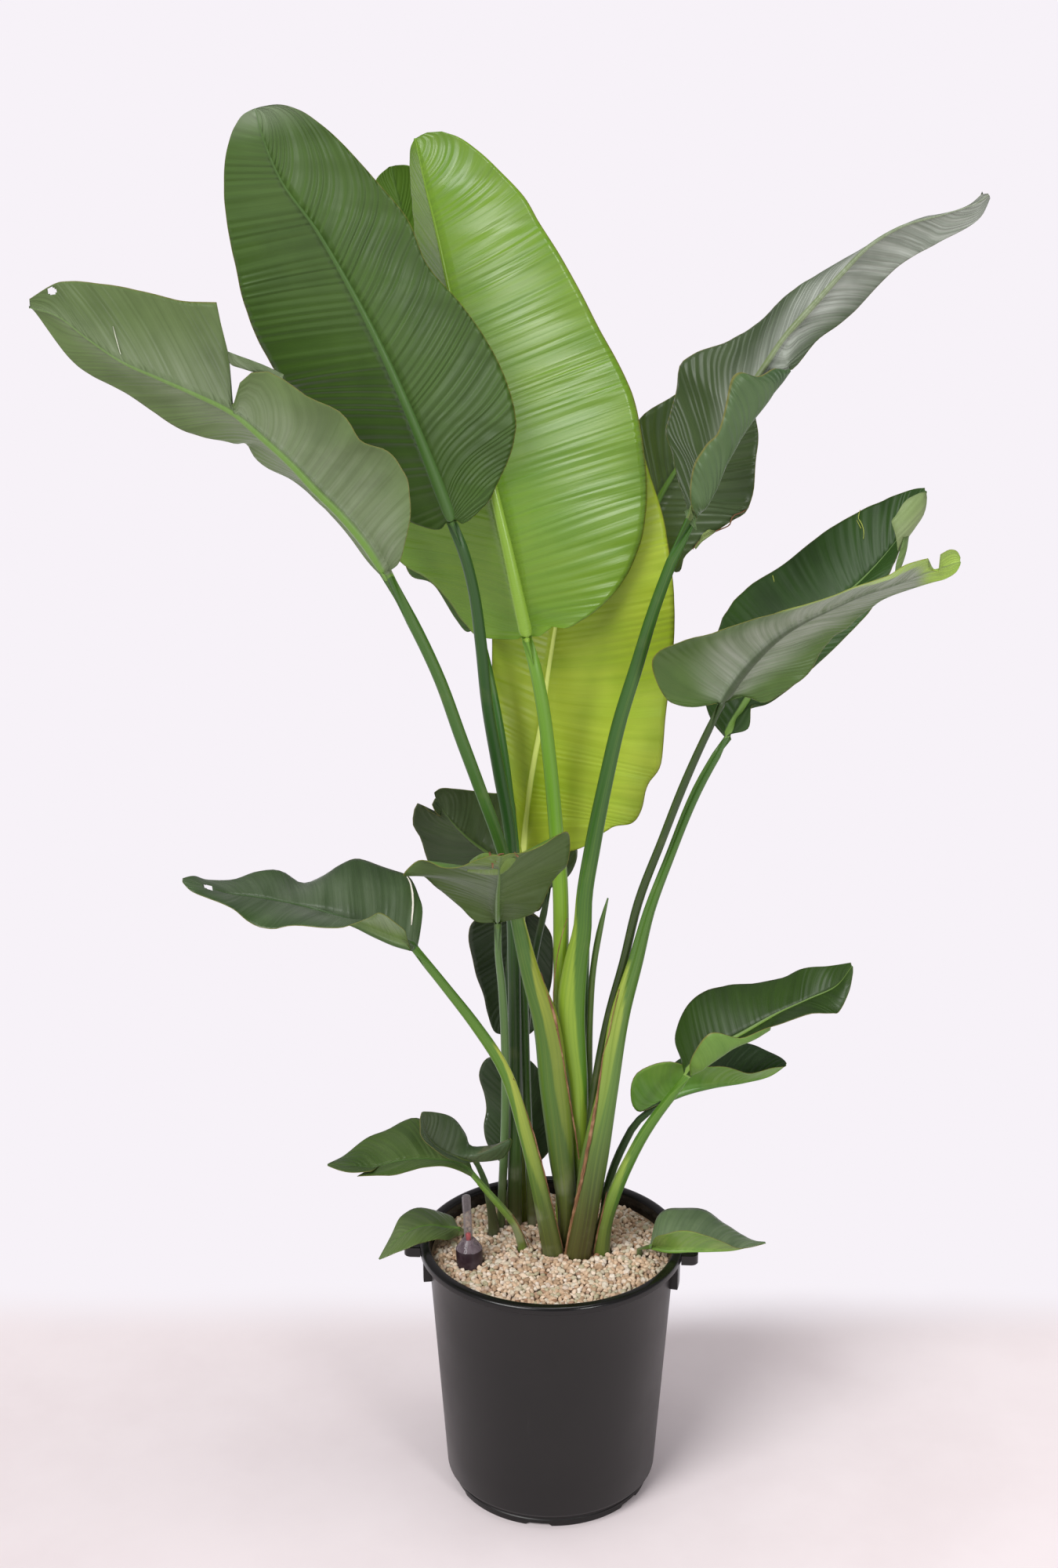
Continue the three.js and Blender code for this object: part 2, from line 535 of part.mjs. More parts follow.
    left: [
      [0, -1, 118, 781], [0.04, 18, 124, 791], [0.1, 31, 130, 811], [0.2, 29, 138, 845],
      [0.32, 6, 146, 874], [0.46, -24, 150, 891], [0.6, -54, 150, 898], [0.72, -76, 146, 900],
      [0.82, -100, 138, 905], [0.9, -123, 128, 911], [0.96, -141, 120, 914], [1, -150, 116, 909],
    ],
    right: [
      [0, -7, 118, 774], [0.04, -14, 120, 751], [0.1, -34, 124, 749], [0.22, -64, 128, 761],
      [0.36, -104, 130, 781], [0.48, -139, 130, 795], [0.58, -157, 128, 811],
      [0.68, -167, 124, 846], [0.76, -177, 118, 871], [0.83, -167, 112, 897],
      [0.86, -155, 116, 885], [0.9, -141, 120, 877], [0.95, -147, 116, 884], [1, -152, 116, 896],
    ],
  },
  {
    name: 'leaf_hanging_back',
    colour: GREEN_DARK,
    size: SMALL_LEAF,
    stem: [
      [-50, 128, 336, 10, 10], [-53, 142, 491, 10, 9], [-55, 142, 599, 9, 9],
      [-55, 138, 673, 8, 8], [-50, 134, 724, 8, 7],
    ],
    rib: [
      [-44, 132, 746], [-40, 146, 743], [-37, 158, 718], [-38, 160, 682], [-42, 158, 642],
      [-51, 154, 599], [-59, 148, 563],
    ],
    left: [
      [0, -49, 134, 745], [0.05, -75, 142, 742], [0.14, -98, 152, 725], [0.28, -108, 156, 699],
      [0.42, -103, 156, 665], [0.56, -98, 154, 643], [0.7, -89, 152, 617], [0.82, -84, 150, 593],
      [0.92, -75, 148, 567], [1, -63, 148, 562],
    ],
    right: [
      [0, -39, 134, 743], [0.05, -20, 142, 733], [0.14, -5, 150, 713], [0.28, 2, 154, 689],
      [0.42, 3, 154, 654], [0.56, -2, 152, 623], [0.7, -11, 150, 593], [0.82, -22, 148, 569],
      [0.92, -36, 148, 560], [1, -55, 148, 561],
    ],
  },
  {
    name: 'leaf_low_back',
    colour: GREEN_MID,
    size: SMALL_LEAF,
    stem: [
      [-57, 89, 336, 9, 9], [-53, 96, 370, 8, 8],
    ],
    rib: [
      [-50, 102, 385], [-45, 112, 420], [-40, 120, 456], [-40, 126, 493], [-45, 128, 520],
      [-53, 128, 537],
    ],
    left: [
      [0, -54, 102, 388], [0.06, -72, 104, 403], [0.16, -85, 110, 423], [0.28, -89, 116, 443],
      [0.42, -86, 122, 465], [0.56, -89, 126, 488], [0.7, -95, 128, 515], [0.84, -85, 128, 537],
      [1, -57, 128, 541],
    ],
    right: [
      [0, -46, 102, 387], [0.06, -28, 108, 387], [0.16, -5, 116, 404], [0.3, 3, 124, 436],
      [0.48, -1, 130, 473], [0.66, -9, 132, 506], [0.84, -28, 130, 534], [1, -49, 128, 540],
    ],
  },
  {
    name: 'leaf_right_front',
    colour: GREEN_UNDER,
    size: LARGE_LEAF,
    stem: [
      [43, 5, 336, 12, 12], [54, 7, 553, 11, 11], [72, 9, 658, 11, 11], [88, 11, 722, 11, 11],
      [105, 10, 802, 11, 10], [132, -4, 889, 10, 10], [157, -8, 962, 10, 9],
      [184, -14, 1031, 9, 9],
    ],
    rib: [
      [199, -18, 1065], [215, -22, 1093], [236, -28, 1122], [264, -36, 1152], [289, -42, 1170],
      [318, -48, 1186], [352, -56, 1204], [390, -64, 1219], [427, -74, 1237], [457, -80, 1249],
    ],
    left: [
      [0, 203, -18, 1066], [0.02, 222, -16, 1072], [0.06, 247, -12, 1064], [0.11, 268, -10, 1074],
      [0.18, 286, -10, 1088], [0.26, 302, -10, 1102], [0.34, 313, -10, 1122],
      [0.42, 327, -12, 1143], [0.5, 341, -16, 1156], [0.58, 352, -22, 1169],
      [0.66, 367, -28, 1181], [0.74, 381, -36, 1195], [0.84, 411, -48, 1211],
      [0.9, 430, -62, 1221], [0.94, 444, -70, 1227], [0.975, 454, -78, 1237], [1, 458, -80, 1247],
    ],
    right: [
      [0, 194, -20, 1066], [0.02, 168, -26, 1063], [0.05, 141, -34, 1069], [0.09, 126, -42, 1085],
      [0.14, 114, -52, 1118], [0.19, 120, -60, 1137], [0.25, 143, -68, 1153],
      [0.33, 184, -76, 1169], [0.42, 225, -82, 1180], [0.5, 259, -88, 1191],
      [0.58, 301, -92, 1208], [0.66, 329, -96, 1221], [0.76, 370, -100, 1234],
      [0.86, 398, -98, 1251], [0.905, 418, -94, 1255], [0.912, 424, -80, 1239],
      [0.928, 433, -80, 1237], [0.935, 432, -90, 1259], [0.96, 443, -88, 1264],
      [0.98, 452, -84, 1261], [1, 458, -80, 1251],
    ],
  },
  {
    name: 'leaf_right_dark',
    colour: GREEN_DARK,
    size: LARGE_LEAF,
    stem: [
      [35, -19, 336, 32, 20], [41, -18, 373, 31, 20], [54, -16, 469, 35, 20],
      [70, -12, 562, 26, 18], [85, -6, 664, 24, 17], [102, -2, 728, 19, 15], [119, 2, 797, 14, 12],
      [140, 8, 856, 12, 11], [180, 16, 958, 12, 11], [197, 20, 989, 11, 10],
    ],
    rib: [
      [210, 24, 1011], [225, 30, 1037], [245, 38, 1070], [273, 46, 1107], [305, 54, 1138],
      [335, 62, 1163], [364, 68, 1187], [397, 74, 1222], [423, 80, 1258], [443, 84, 1299],
    ],
    left: [
      [0, 207, 28, 1010], [0.02, 196, 44, 1020], [0.06, 186, 66, 1043], [0.12, 185, 88, 1082],
      [0.19, 192, 100, 1106], [0.26, 202, 108, 1124], [0.33, 211, 112, 1143],
      [0.42, 236, 118, 1170], [0.52, 276, 122, 1197], [0.61, 313, 122, 1229],
      [0.7, 358, 120, 1258], [0.8, 400, 112, 1282], [0.9, 428, 100, 1297], [1, 443, 86, 1302],
    ],
    right: [
      [0, 214, 22, 1015], [0.02, 233, 18, 1022], [0.05, 237, 18, 1050], [0.09, 252, 18, 1052],
      [0.16, 276, 20, 1067], [0.26, 312, 24, 1099], [0.38, 349, 30, 1134], [0.5, 378, 36, 1167],
      [0.6, 397, 44, 1206], [0.68, 406, 48, 1221], [0.76, 414, 52, 1241], [0.84, 427, 56, 1261],
      [0.92, 438, 66, 1280], [1, 445, 84, 1299],
    ],
  },
  {
    name: 'leaf_spear',
    colour: GREEN_NEW,
    size: SMALL_LEAF,
    stem: [
      [55, 33, 336, 13, 13], [48, 30, 529, 9, 9], [48, 26, 650, 8, 8], [51, 22, 709, 8, 8],
      [60, 18, 770, 7, 6], [68, 14, 807, 2, 2],
    ],
  },
];

// Petiole widths lie square to this line, which runs back and down through the clump.
const VIEW_LINE = new THREE.Vector3(0, 0.951, -0.309);
const UP = new THREE.Vector3(0, 0, 1);

function vec(point) {
  return new THREE.Vector3(point[0], point[1], point[2]);
}

function mix(from, to, share) {
  return from + (to - from) * share;
}

// Repeatable random numbers from 0 to 1.
function randomFrom(seed) {
  let state = seed;
  return () => {
    state = (state * 1664525 + 1013904223) % 4294967296;
    return state / 4294967296;
  };
}

// Closed geometry to solid, with doubled vertices merged and empty faces left out.
function toSolid(geometry) {
  const bare = geometry.clone();
  bare.deleteAttribute('normal');
  bare.deleteAttribute('uv');
  const merged = mergeVertices(bare, 1e-4);
  const kept = [];
  for (let i = 0; i < merged.index.count; i += 3) {
    const [a, b, c] = [0, 1, 2].map((k) => merged.index.getX(i + k));
    if (a !== b && b !== c && c !== a) {
      kept.push(a, b, c);
    }
  }
  return new wasm.Manifold(new wasm.Mesh({
    numProp: 3,
    vertProperties: Float32Array.from(merged.attributes.position.array),
    triVerts: Uint32Array.from(kept),
  }));
}

function toMesh(name, solid, colour, roughness) {
  const shape = solid.getMesh();
  const geometry = new THREE.BufferGeometry();
  geometry.setAttribute('position', new THREE.BufferAttribute(shape.vertProperties, 3));
  geometry.setIndex(new THREE.BufferAttribute(shape.triVerts, 1));
  geometry.computeVertexNormals();
  const material = new THREE.MeshStandardMaterial({ color: colour, roughness, metalness: 0 });
  const mesh = new THREE.Mesh(geometry, material);
  mesh.name = name;
  return mesh;
}

// A profile of [radius, height] pairs turned round the vertical axis.
function turned(profile, sides) {
  const points = profile.map(([radius, height]) => new THREE.Vector2(radius, height));
  const geometry = new THREE.LatheGeometry(points, sides);
  geometry.rotateX(Math.PI / 2);
  return toSolid(geometry);
}

function box(x, y, z, place) {
  const geometry = new THREE.BoxGeometry(x, y, z);
  geometry.translate(place[0], place[1], place[2]);
  return toSolid(geometry);
}

// A flat outline raised from one height to another.
function raised(shape, bottom, top, curveSegments) {
  const depth = top - bottom;
  const geometry = new THREE.ExtrudeGeometry(shape, { depth, bevelEnabled: false, curveSegments });
  geometry.translate(0, 0, bottom);
  return toSolid(geometry);
}

// Rings of points joined into one closed skin. Each ring runs over the upper face
// from the left to the right margin and back under the lower face. Both faces are
// split into triangles alike, along the veins.
function lofted(rings) {
  const count = rings[0].length;
  const across = count / 2;
  const middle = (across - 1) / 2;
  const positions = rings.flat().flatMap((p) => [p.x, p.y, p.z]);
  const faces = [];
  const at = (ring, i) => ring * count + (i % count);
  const alongVein = (i) => {
    const column = i < across ? i : count - 2 - i;
    const onRight = column >= middle;
    return i < across ? onRight : !onRight;
  };
  for (let k = 0; k < rings.length - 1; k += 1) {
    for (let i = 0; i < count; i += 1) {
      const [a, b, c, d] = [at(k, i), at(k, i + 1), at(k + 1, i + 1), at(k + 1, i)];
      if (alongVein(i)) {
        faces.push(a, b, c, a, c, d);
      } else {
        faces.push(a, b, d, b, c, d);
      }
    }
  }
  const last = rings.length - 1;
  for (let j = 0; j < across - 1; j += 1) {
    const quad = [j, j + 1, count - 2 - j, count - 1 - j];
    const [p, q, r, s] = quad.map((i) => at(last, i));
    faces.push(p, q, r, p, r, s);
    const [e, f, g, h] = quad.map((i) => at(0, i));
    faces.push(e, g, f, e, h, g);
  }
  const geometry = new THREE.BufferGeometry();
  geometry.setAttribute('position', new THREE.Float32BufferAttribute(positions, 3));
  geometry.setIndex(faces);
  return toSolid(geometry);
}

// Pot

const FOOT_STEP = 22;
const LIP_FOOT = POT_HEIGHT - POT_LIP_DEPTH;

function wallRadius(height) {
  const share = (height - FOOT_STEP) / (LIP_FOOT - 4 - FOOT_STEP);
  return mix(POT_WALL_LOW_RADIUS, POT_WALL_TOP_RADIUS, share);
}

function potInnerRadius(height) {
  return wallRadius(height) - POT_WALL;
}

function potBody() {
  const foot = POT_FOOT_RADIUS;
  const rim = POT_RIM_RADIUS;
  const top = POT_HEIGHT;
  return turned([
    [0, 0],
    [foot - 1.5, 0],
    [foot, 1.5],
    [foot, 8],
    [foot + 1, 9],
    [foot, 10],
    [foot, POT_FOOT_HEIGHT],
    [POT_WALL_LOW_RADIUS - 1, POT_FOOT_HEIGHT + 1.5],
    [POT_WALL_LOW_RADIUS, FOOT_STEP],
    [wallRadius(LIP_FOOT - 1), LIP_FOOT - 1],
    [rim - 9.5, top - 4.5],
    [rim - 3.6, top - 3.6],
    [rim - POT_WALL, top - 5],
    [rim - POT_WALL, LIP_FOOT],
    [rim, LIP_FOOT],
    [rim, top - 4.5],
    [rim - 1.4, top - 1.4],
    [rim - 4, top],
    [0, top],
  ], POT_SIDES);
}

function potCavity() {
  const rim = POT_RIM_RADIUS;
  const top = POT_HEIGHT;
  return turned([
    [0, POT_WALL],
    [POT_FOOT_RADIUS - POT_WALL, POT_WALL],
    [POT_FOOT_RADIUS - POT_WALL, POT_FOOT_HEIGHT + 1.5],
    [potInnerRadius(FOOT_STEP + POT_WALL), FOOT_STEP + POT_WALL],
    [potInnerRadius(LIP_FOOT - 4), LIP_FOOT - 4],
    [rim - 14.2, top - 4.5],
    [rim - 12.5, top - 1.2],
    [rim - 9.5, top],
    [rim - 9.5, top + 1],
    [0, top + 1],
  ], POT_SIDES);
}

// A lug's plan: square at the root, rounded at the outer corners.
function lugPlan(inset) {
  const root = LUG_ROOT + inset * 2;
  const reach = LUG_REACH - inset;
  const half = LUG_WIDTH / 2 - inset;
  const corner = LUG_CORNER - inset;
  const plan = new THREE.Shape();
  plan.moveTo(root, -half);
  plan.lineTo(reach - corner, -half);
  plan.absarc(reach - corner, corner - half, corner, -Math.PI / 2, 0, false);
  plan.absarc(reach - corner, half - corner, corner, 0, Math.PI / 2, false);
  plan.lineTo(root, half);
  plan.closePath();
  return plan;
}

function lugWithSkirt() {
  const underside = LUG_TOP - LUG_THICKNESS;
  const block = raised(lugPlan(0), underside, LUG_TOP, 4);
  const recess = raised(lugPlan(LUG_BORDER), LUG_TOP - LUG_RECESS, LUG_TOP + 1, 4);
  const pocket = raised(lugPlan(LUG_BORDER), underside - 1, LUG_TOP - LUG_RECESS - POT_WALL, 4);
  const halfAngle = Math.asin(SKIRT_WIDTH / 2 / SKIRT_RADIUS);
  const plan = new THREE.Shape();
  plan.absarc(0, 0, SKIRT_RADIUS, -halfAngle, halfAngle, false);
  plan.absarc(0, 0, SKIRT_ROOT, halfAngle, -halfAngle, true);
  plan.closePath();
  const skirt = raised(plan, LIP_FOOT - SKIRT_DROP, LIP_FOOT + 1, 6);
  return block.subtract(recess).subtract(pocket).add(skirt);
}

function drainNotch(degrees) {
  const reach = POT_FOOT_RADIUS + 4;
  const length = reach - NOTCH_INNER_RADIUS;
  const height = NOTCH_HEIGHT * 2;
  const notch = box(length, NOTCH_WIDTH, height, [reach - length / 2, 0, 0]);
  return notch.rotate([0, 0, degrees]);
}

function pot() {
  let solid = potBody();
  for (const side of [0, 180]) {
    solid = solid.add(lugWithSkirt().rotate([0, 0, LUG_TURN + side]));
  }
  solid = solid.subtract(potCavity());
  for (let i = 0; i < NOTCH_COUNT; i += 1) {
    solid = solid.subtract(drainNotch(NOTCH_TURN + (i * 360) / NOTCH_COUNT));
  }
  return solid;
}

// Substrate, before its holes: level at the edge, mounded to the middle, with a
// coarse relief of packed granules.
function soilBody() {
  const random = randomFrom(SOIL_SEED);
  const edge = potInnerRadius(SOIL_EDGE) - FIT_GAP;
  const positions = [0, 0, SOIL_EDGE + SOIL_MOUND];
  const addRing = (placeAt) => {
    for (let i = 0; i < POT_SIDES; i += 1) {
      const angle = (i / POT_SIDES) * Math.PI * 2 - Math.PI / 2;
      const [radius, height] = placeAt();
      positions.push(radius * Math.cos(angle), radius * Math.sin(angle), height);
    }
  };
  for (let ring = 1; ring <= SOIL_RINGS; ring += 1) {
    const share = ring / SOIL_RINGS;
    const relief = ring === SOIL_RINGS ? SOIL_RELIEF / 2 : SOIL_RELIEF;
    addRing(() => {
      const bump = (random() * 2 - 1) * relief;
      const height = SOIL_EDGE + SOIL_MOUND * (1 - share * share) + bump;
      const radius = ring === SOIL_RINGS ? potInnerRadius(height) - FIT_GAP : edge * share;
      return [radius, height];
    });
  }
  const step = FOOT_STEP + POT_WALL + FIT_GAP * 2;
  const foot = POT_FOOT_RADIUS - POT_WALL - FIT_GAP;
  addRing(() => [potInnerRadius(step) - FIT_GAP, step]);
  addRing(() => [foot, POT_FOOT_HEIGHT + 1.5 + FIT_GAP * 2]);
  addRing(() => [foot, POT_WALL + FIT_GAP]);
  positions.push(0, 0, POT_WALL + FIT_GAP);

  const faces = [];
  const rings = SOIL_RINGS + 3;
  const at = (ring, i) => 1 + ring * POT_SIDES + (i % POT_SIDES);
  const bottom = 1 + rings * POT_SIDES;
  for (let i = 0; i < POT_SIDES; i += 1) {
    faces.push(0, at(0, i), at(0, i + 1));
    faces.push(bottom, at(rings - 1, i + 1), at(rings - 1, i));
    for (let ring = 0; ring < rings - 1; ring += 1) {
      const [a, b] = [at(ring, i), at(ring, i + 1)];
      const [c, d] = [at(ring + 1, i + 1), at(ring + 1, i)];
      faces.push(a, d, c, a, c, b);
    }
  }
  const geometry = new THREE.BufferGeometry();
  geometry.setAttribute('position', new THREE.Float32BufferAttribute(positions, 3));
  geometry.setIndex(faces);
  return toSolid(geometry);
}

// The plain hole that a stem stands in.
function stemHole([x, y, , width, thickness]) {
  const around = 1 / Math.cos(Math.PI / HOLE_SIDES);
  const plan = new THREE.Shape();
  for (let i = 0; i < HOLE_SIDES; i += 1) {
    const angle = ((i + 0.5) / HOLE_SIDES) * Math.PI * 2;
    const px = x + (width / 2 + FIT_GAP) * around * Math.cos(angle);
    const py = y + (thickness / 2 + FIT_GAP) * around * Math.sin(angle);
    if (i === 0) {
      plan.moveTo(px, py);
    } else {
      plan.lineTo(px, py);
    }
  }
  plan.closePath();
  return raised(plan, STEM_FOOT - FIT_GAP, SOIL_CLEAR + 10, 1);
}

function placeIndicator(solid) {
  return solid.rotate([0, INDICATOR_LEAN, 0]).translate(INDICATOR_PLACE);
}

function substrate() {
  let solid = soilBody();
  for (const leaf of LEAVES) {
    solid = solid.subtract(stemHole(leaf.stem[0]));
  }
  const bore = turned([
    [0, SLEEVE_FOOT - FIT_GAP],
    [SLEEVE_RADIUS + FIT_GAP, SLEEVE_FOOT - FIT_GAP],
    [SLEEVE_RADIUS + FIT_GAP, SLEEVE_TOP],
    [0, SLEEVE_TOP],
  ], INDICATOR_SIDES);
  return solid.subtract(placeIndicator(bore));
}

// Water level indicator

function indicatorCasing() {
  const inner = SLEEVE_RADIUS - SLEEVE_WALL;
  const neckBore = TUBE_RADIUS + FIT_GAP;
  let solid = turned([
    [0, SLEEVE_FOOT],
    [SLEEVE_RADIUS - 1.5, SLEEVE_FOOT],
    [SLEEVE_RADIUS, SLEEVE_FOOT + 1.5],
    [SLEEVE_RADIUS, SLEEVE_TOP],
    [NECK_RADIUS, CONE_TOP],
    [neckBore, CONE_TOP],
    [neckBore, LEDGE_HEIGHT],
    [LEDGE_RADIUS, LEDGE_HEIGHT],
    [LEDGE_RADIUS, LEDGE_HEIGHT - 2],
    [inner, SLEEVE_TOP - 3],
    [inner, SLEEVE_FOOT + SLEEVE_WALL],
    [0, SLEEVE_FOOT + SLEEVE_WALL],
  ], INDICATOR_SIDES);
  for (let i = 0; i < SLOT_COUNT; i += 1) {
    const place = [SLEEVE_RADIUS, 0, SLEEVE_FOOT + SLOT_HEIGHT];
    const slot = box(SLEEVE_WALL * 6, SLOT_WIDTH, SLOT_HEIGHT, place);
    solid = solid.subtract(slot.rotate([0, 0, (i * 360) / SLOT_COUNT + SLOT_TURN]));
  }
  return placeIndicator(solid);
}

function indicatorSightTube() {
  const foot = LEDGE_HEIGHT + FIT_GAP;
  const bore = TUBE_RADIUS - TUBE_WALL;
  return placeIndicator(turned([
    [bore, foot],
    [TUBE_RADIUS, foot],
    [TUBE_RADIUS, TUBE_TOP - 2],
    [TUBE_RADIUS - 2, TUBE_TOP],
    [0, TUBE_TOP],
    [0, TUBE_TOP - TUBE_WALL],
    [bore - 1, TUBE_TOP - TUBE_WALL],
    [bore, TUBE_TOP - TUBE_WALL - 1],
    [bore, foot],
  ], INDICATOR_SIDES));
}

function indicatorFloat() {
  return placeIndicator(turned([
    [0, FLOAT_BOTTOM],
    [FLOAT_RADIUS, FLOAT_BOTTOM],
    [FLOAT_RADIUS, FLOAT_TOP - 4],
    [ROD_RADIUS, FLOAT_TOP],
    [ROD_RADIUS, TIP_BOTTOM],
    [TIP_RADIUS, TIP_BOTTOM + 0.5],
    [TIP_RADIUS, TIP_TOP - 2],
    [TIP_RADIUS - 2, TIP_TOP],
    [0, TIP_TOP],
  ], INDICATOR_SIDES));
}

// Curves of the leaves

// A smooth curve through points at growing shares. Where two shares are closer
// than TEAR_GAP the curve is cut, so that a tear keeps its sharp lips.
function smoothCurve(shares, points) {
  const last = points.length - 1;
  const slope = (i) => points[i + 1].clone().sub(points[i]).divideScalar(shares[i + 1] - shares[i]);
  const tangents = points.map((_, i) => {
    const before = i > 0 ? shares[i] - shares[i - 1] : 0;
    const after = i < last ? shares[i + 1] - shares[i] : 0;
    const cutBefore = before < TEAR_GAP;
    const cutAfter = after < TEAR_GAP;
    if (cutBefore && !cutAfter) {
      return slope(i);
    }
    if (cutAfter && !cutBefore) {
      return slope(i - 1);
    }
    if (cutBefore && cutAfter) {
      return new THREE.Vector3();
    }
    return slope(i - 1).multiplyScalar(after).add(slope(i).multiplyScalar(before))
      .divideScalar(before + after);
  });
  return (share) => {
    let i = 0;
    while (i < last - 1 && share > shares[i + 1]) {
      i += 1;
    }
    const span = shares[i + 1] - shares[i];
    const t = Math.min(Math.max((share - shares[i]) / span, 0), 1);
    const [from, to] = [points[i], points[i + 1]];
    if (span < TEAR_GAP) {
      return from.clone().lerp(to, t);
    }
    const t2 = t * t;
    const t3 = t2 * t;
    return from.clone().multiplyScalar(2 * t3 - 3 * t2 + 1)
      .addScaledVector(tangents[i], (t3 - 2 * t2 + t) * span)
      .addScaledVector(to, 3 * t2 - 2 * t3)
      .addScaledVector(tangents[i + 1], (t3 - t2) * span);
  };
}

// The same through bare points, with shares of the chord length.
function chordCurve(points) {
  const lengths = [0];
  for (let i = 1; i < points.length; i += 1) {
    lengths.push(lengths[i - 1] + points[i].distanceTo(points[i - 1]));
  }
  const total = lengths[lengths.length - 1];
  return smoothCurve(lengths.map((length) => length / total), points);
}

function marginCurve(list) {
  return smoothCurve(list.map((entry) => entry[0]), list.map((entry) => vec(entry.slice(1))));
}

function tangentOf(curve, share) {
  const step = 0.01;
  const ahead = curve(Math.min(share + step, 1));
  return ahead.sub(curve(Math.max(share - step, 0))).normalize();
}

function squareTo(direction, axis) {
  return direction.clone().addScaledVector(axis, -direction.dot(axis)).normalize();
}

// Side runs from the left to the right margin, normal out of the upper face.
function bladeFrame(curves, share) {
  const u = Math.min(Math.max(share, 0.02), 0.97);
  const along = tangentOf(curves.rib, share);
  const side = squareTo(curves.right(u).sub(curves.left(u)), along);
  const normal = side.clone().cross(along);
  return { along, side, normal };
}

// Petiole and sheath: ovals, with a channel growing in the upper side.

function ovalRing(centre, frame, width, thickness, across, channel) {
  const wide = frame.along.clone().cross(VIEW_LINE).normalize();
  const deep = frame.along.clone().cross(wide);
  const point = (angle, sign, share) => {
    const way = frame.side.clone().multiplyScalar(Math.cos(angle))
      .addScaledVector(frame.normal, Math.sin(angle) * sign);
    const reach = 1 / Math.hypot(way.dot(wide) / (width / 2), way.dot(deep) / (thickness / 2));
    return centre.clone().addScaledVector(way, reach * share);
  };
  const angles = Array.from({ length: across }, (_, j) => Math.PI * (1 - (j + 0.5) / across));
  const middle = (across - 1) / 2;
  const upper = angles.map((angle, j) => point(angle, 1, j === middle ? channel : 1));
  const lower = angles.map((angle) => point(angle, -1, 1));
  return [...upper, ...lower.reverse()];
}

function stemRings(leaf, across, topSide) {
  const centres = leaf.stem.map(vec);
  const path = leaf.rib ? [...centres, vec(leaf.rib[0])] : centres;
  const curve = chordCurve(path);
  let length = 0;
  const lengths = path.map((point, i) => {
    length += i ? point.distanceTo(path[i - 1]) : 0;
    return length;
  });
  const rings = [];
  let side = topSide;
  for (let i = leaf.stem.length - 1; i >= 0; i -= 1) {
    const [, , , width, thickness] = leaf.stem[i];
    const along = i === 0 ? UP.clone() : tangentOf(curve, lengths[i] / length);
    side = squareTo(side, along);
    const frame = { along, side, normal: side.clone().cross(along) };
    const channel = mix(1, CHANNEL, i / leaf.stem.length);
    rings.unshift(ovalRing(centres[i], frame, width, thickness, across, channel));
    if (i === 0) {
      const foot = centres[0].clone().setZ(STEM_FOOT);
      rings.unshift(ovalRing(foot, frame, width * FOOT_TAPER, thickness * FOOT_TAPER, across, channel));
    }
  }
  return rings;
}

// Blade: two halves that leave the rib and bend through a control point to the
// margins, closed to a thin solid with the rib as a keel below.

// Control point of a half and how hard it pulls, harder where the half is folded.
function bendOf(root, margin, frame, fold, share) {
  const length = margin.distanceTo(root);
  const plain = root.clone().lerp(margin, 0.5)
    .addScaledVector(frame.normal, BLADE_ARCH * length);
  if (!fold) {
    return { control: plain, pull: 1 };
  }
  const fade = Math.min(Math.max((share - fold.end) / FOLD_FADE, 0), 1);
  return {
    control: fold.curve(Math.min(share, fold.end)).lerp(plain, fade),
    pull: mix(FOLD_WEIGHT, 1, fade),
  };
}

function halfBlade(root, margin, bend, t) {
  const near = (1 - t) * (1 - t);
  const bent = 2 * bend.pull * t * (1 - t);
  const far = t * t;
  return root.clone().multiplyScalar(near)
    .addScaledVector(bend.control, bent)
    .addScaledVector(margin, far)
    .divideScalar(near + bent + far);
}

function bladeRing(leaf, curves, u, phase) {
  const frame = bladeFrame(curves, u);
  const [, , , width, thickness] = leaf.stem[leaf.stem.length - 1];
  const fading = (1 - u) ** RIB_FADE;
  const depth = mix(RIB_TIP, thickness, fading);
  const ribHalf = mix(1, width / 2, fading);
  const root = curves.rib(u).addScaledVector(frame.normal, depth / 2 - BLADE_THICKNESS);
  const shares = leaf.size.across;
  const columns = (sign, margin, fold) => {
    const edge = margin(u);
    if (u === 1) {
      edge.copy(root).addScaledVector(frame.side, sign * TIP_HALF_WIDTH);
    }
    const reach = edge.distanceTo(root);
    const bend = bendOf(root, edge, frame, fold, u);
    const start = 2 * bend.pull * bend.control.distanceTo(root);
    const inner = Math.min(RIB_SHARE_LIMIT, ribHalf / start);
    const swing = BLADE_WAVE * Math.sin(Math.PI * u) * Math.min(1, reach / 80);
    const wave = swing * Math.sin(Math.PI * 2 * BLADE_WAVES * u + phase * sign);
    return [...shares, inner].map((t) => {
      const here = halfBlade(root, edge, bend, t);
      const step = 0.02;
      const outward = halfBlade(root, edge, bend, Math.min(t + step, 1))
        .sub(halfBlade(root, edge, bend, Math.max(t - step, 0))).normalize();
      const out = outward.cross(frame.along).multiplyScalar(sign)
        .addScaledVector(frame.normal, 0.15).normalize();
      here.addScaledVector(out, wave * t * t);
      return {
        upper: here.clone().addScaledVector(out, BLADE_THICKNESS / 2),
        lower: here.clone().addScaledVector(out, -BLADE_THICKNESS / 2),
      };
    });
  };
  const left = columns(-1, curves.left, curves.leftFold);
  const right = columns(1, curves.right, curves.rightFold).reverse();
  const keel = {
    upper: root.clone().addScaledVector(frame.normal, BLADE_THICKNESS / 2),
    lower: root.clone().addScaledVector(frame.normal, -depth + BLADE_THICKNESS),
  };
  const all = [...left, keel, ...right];
  return [...all.map((c) => c.upper), ...all.map((c) => c.lower).reverse()];
}

function foldOf(list) {
  return list && { curve: marginCurve(list), end: list[list.length - 1][0] };
}

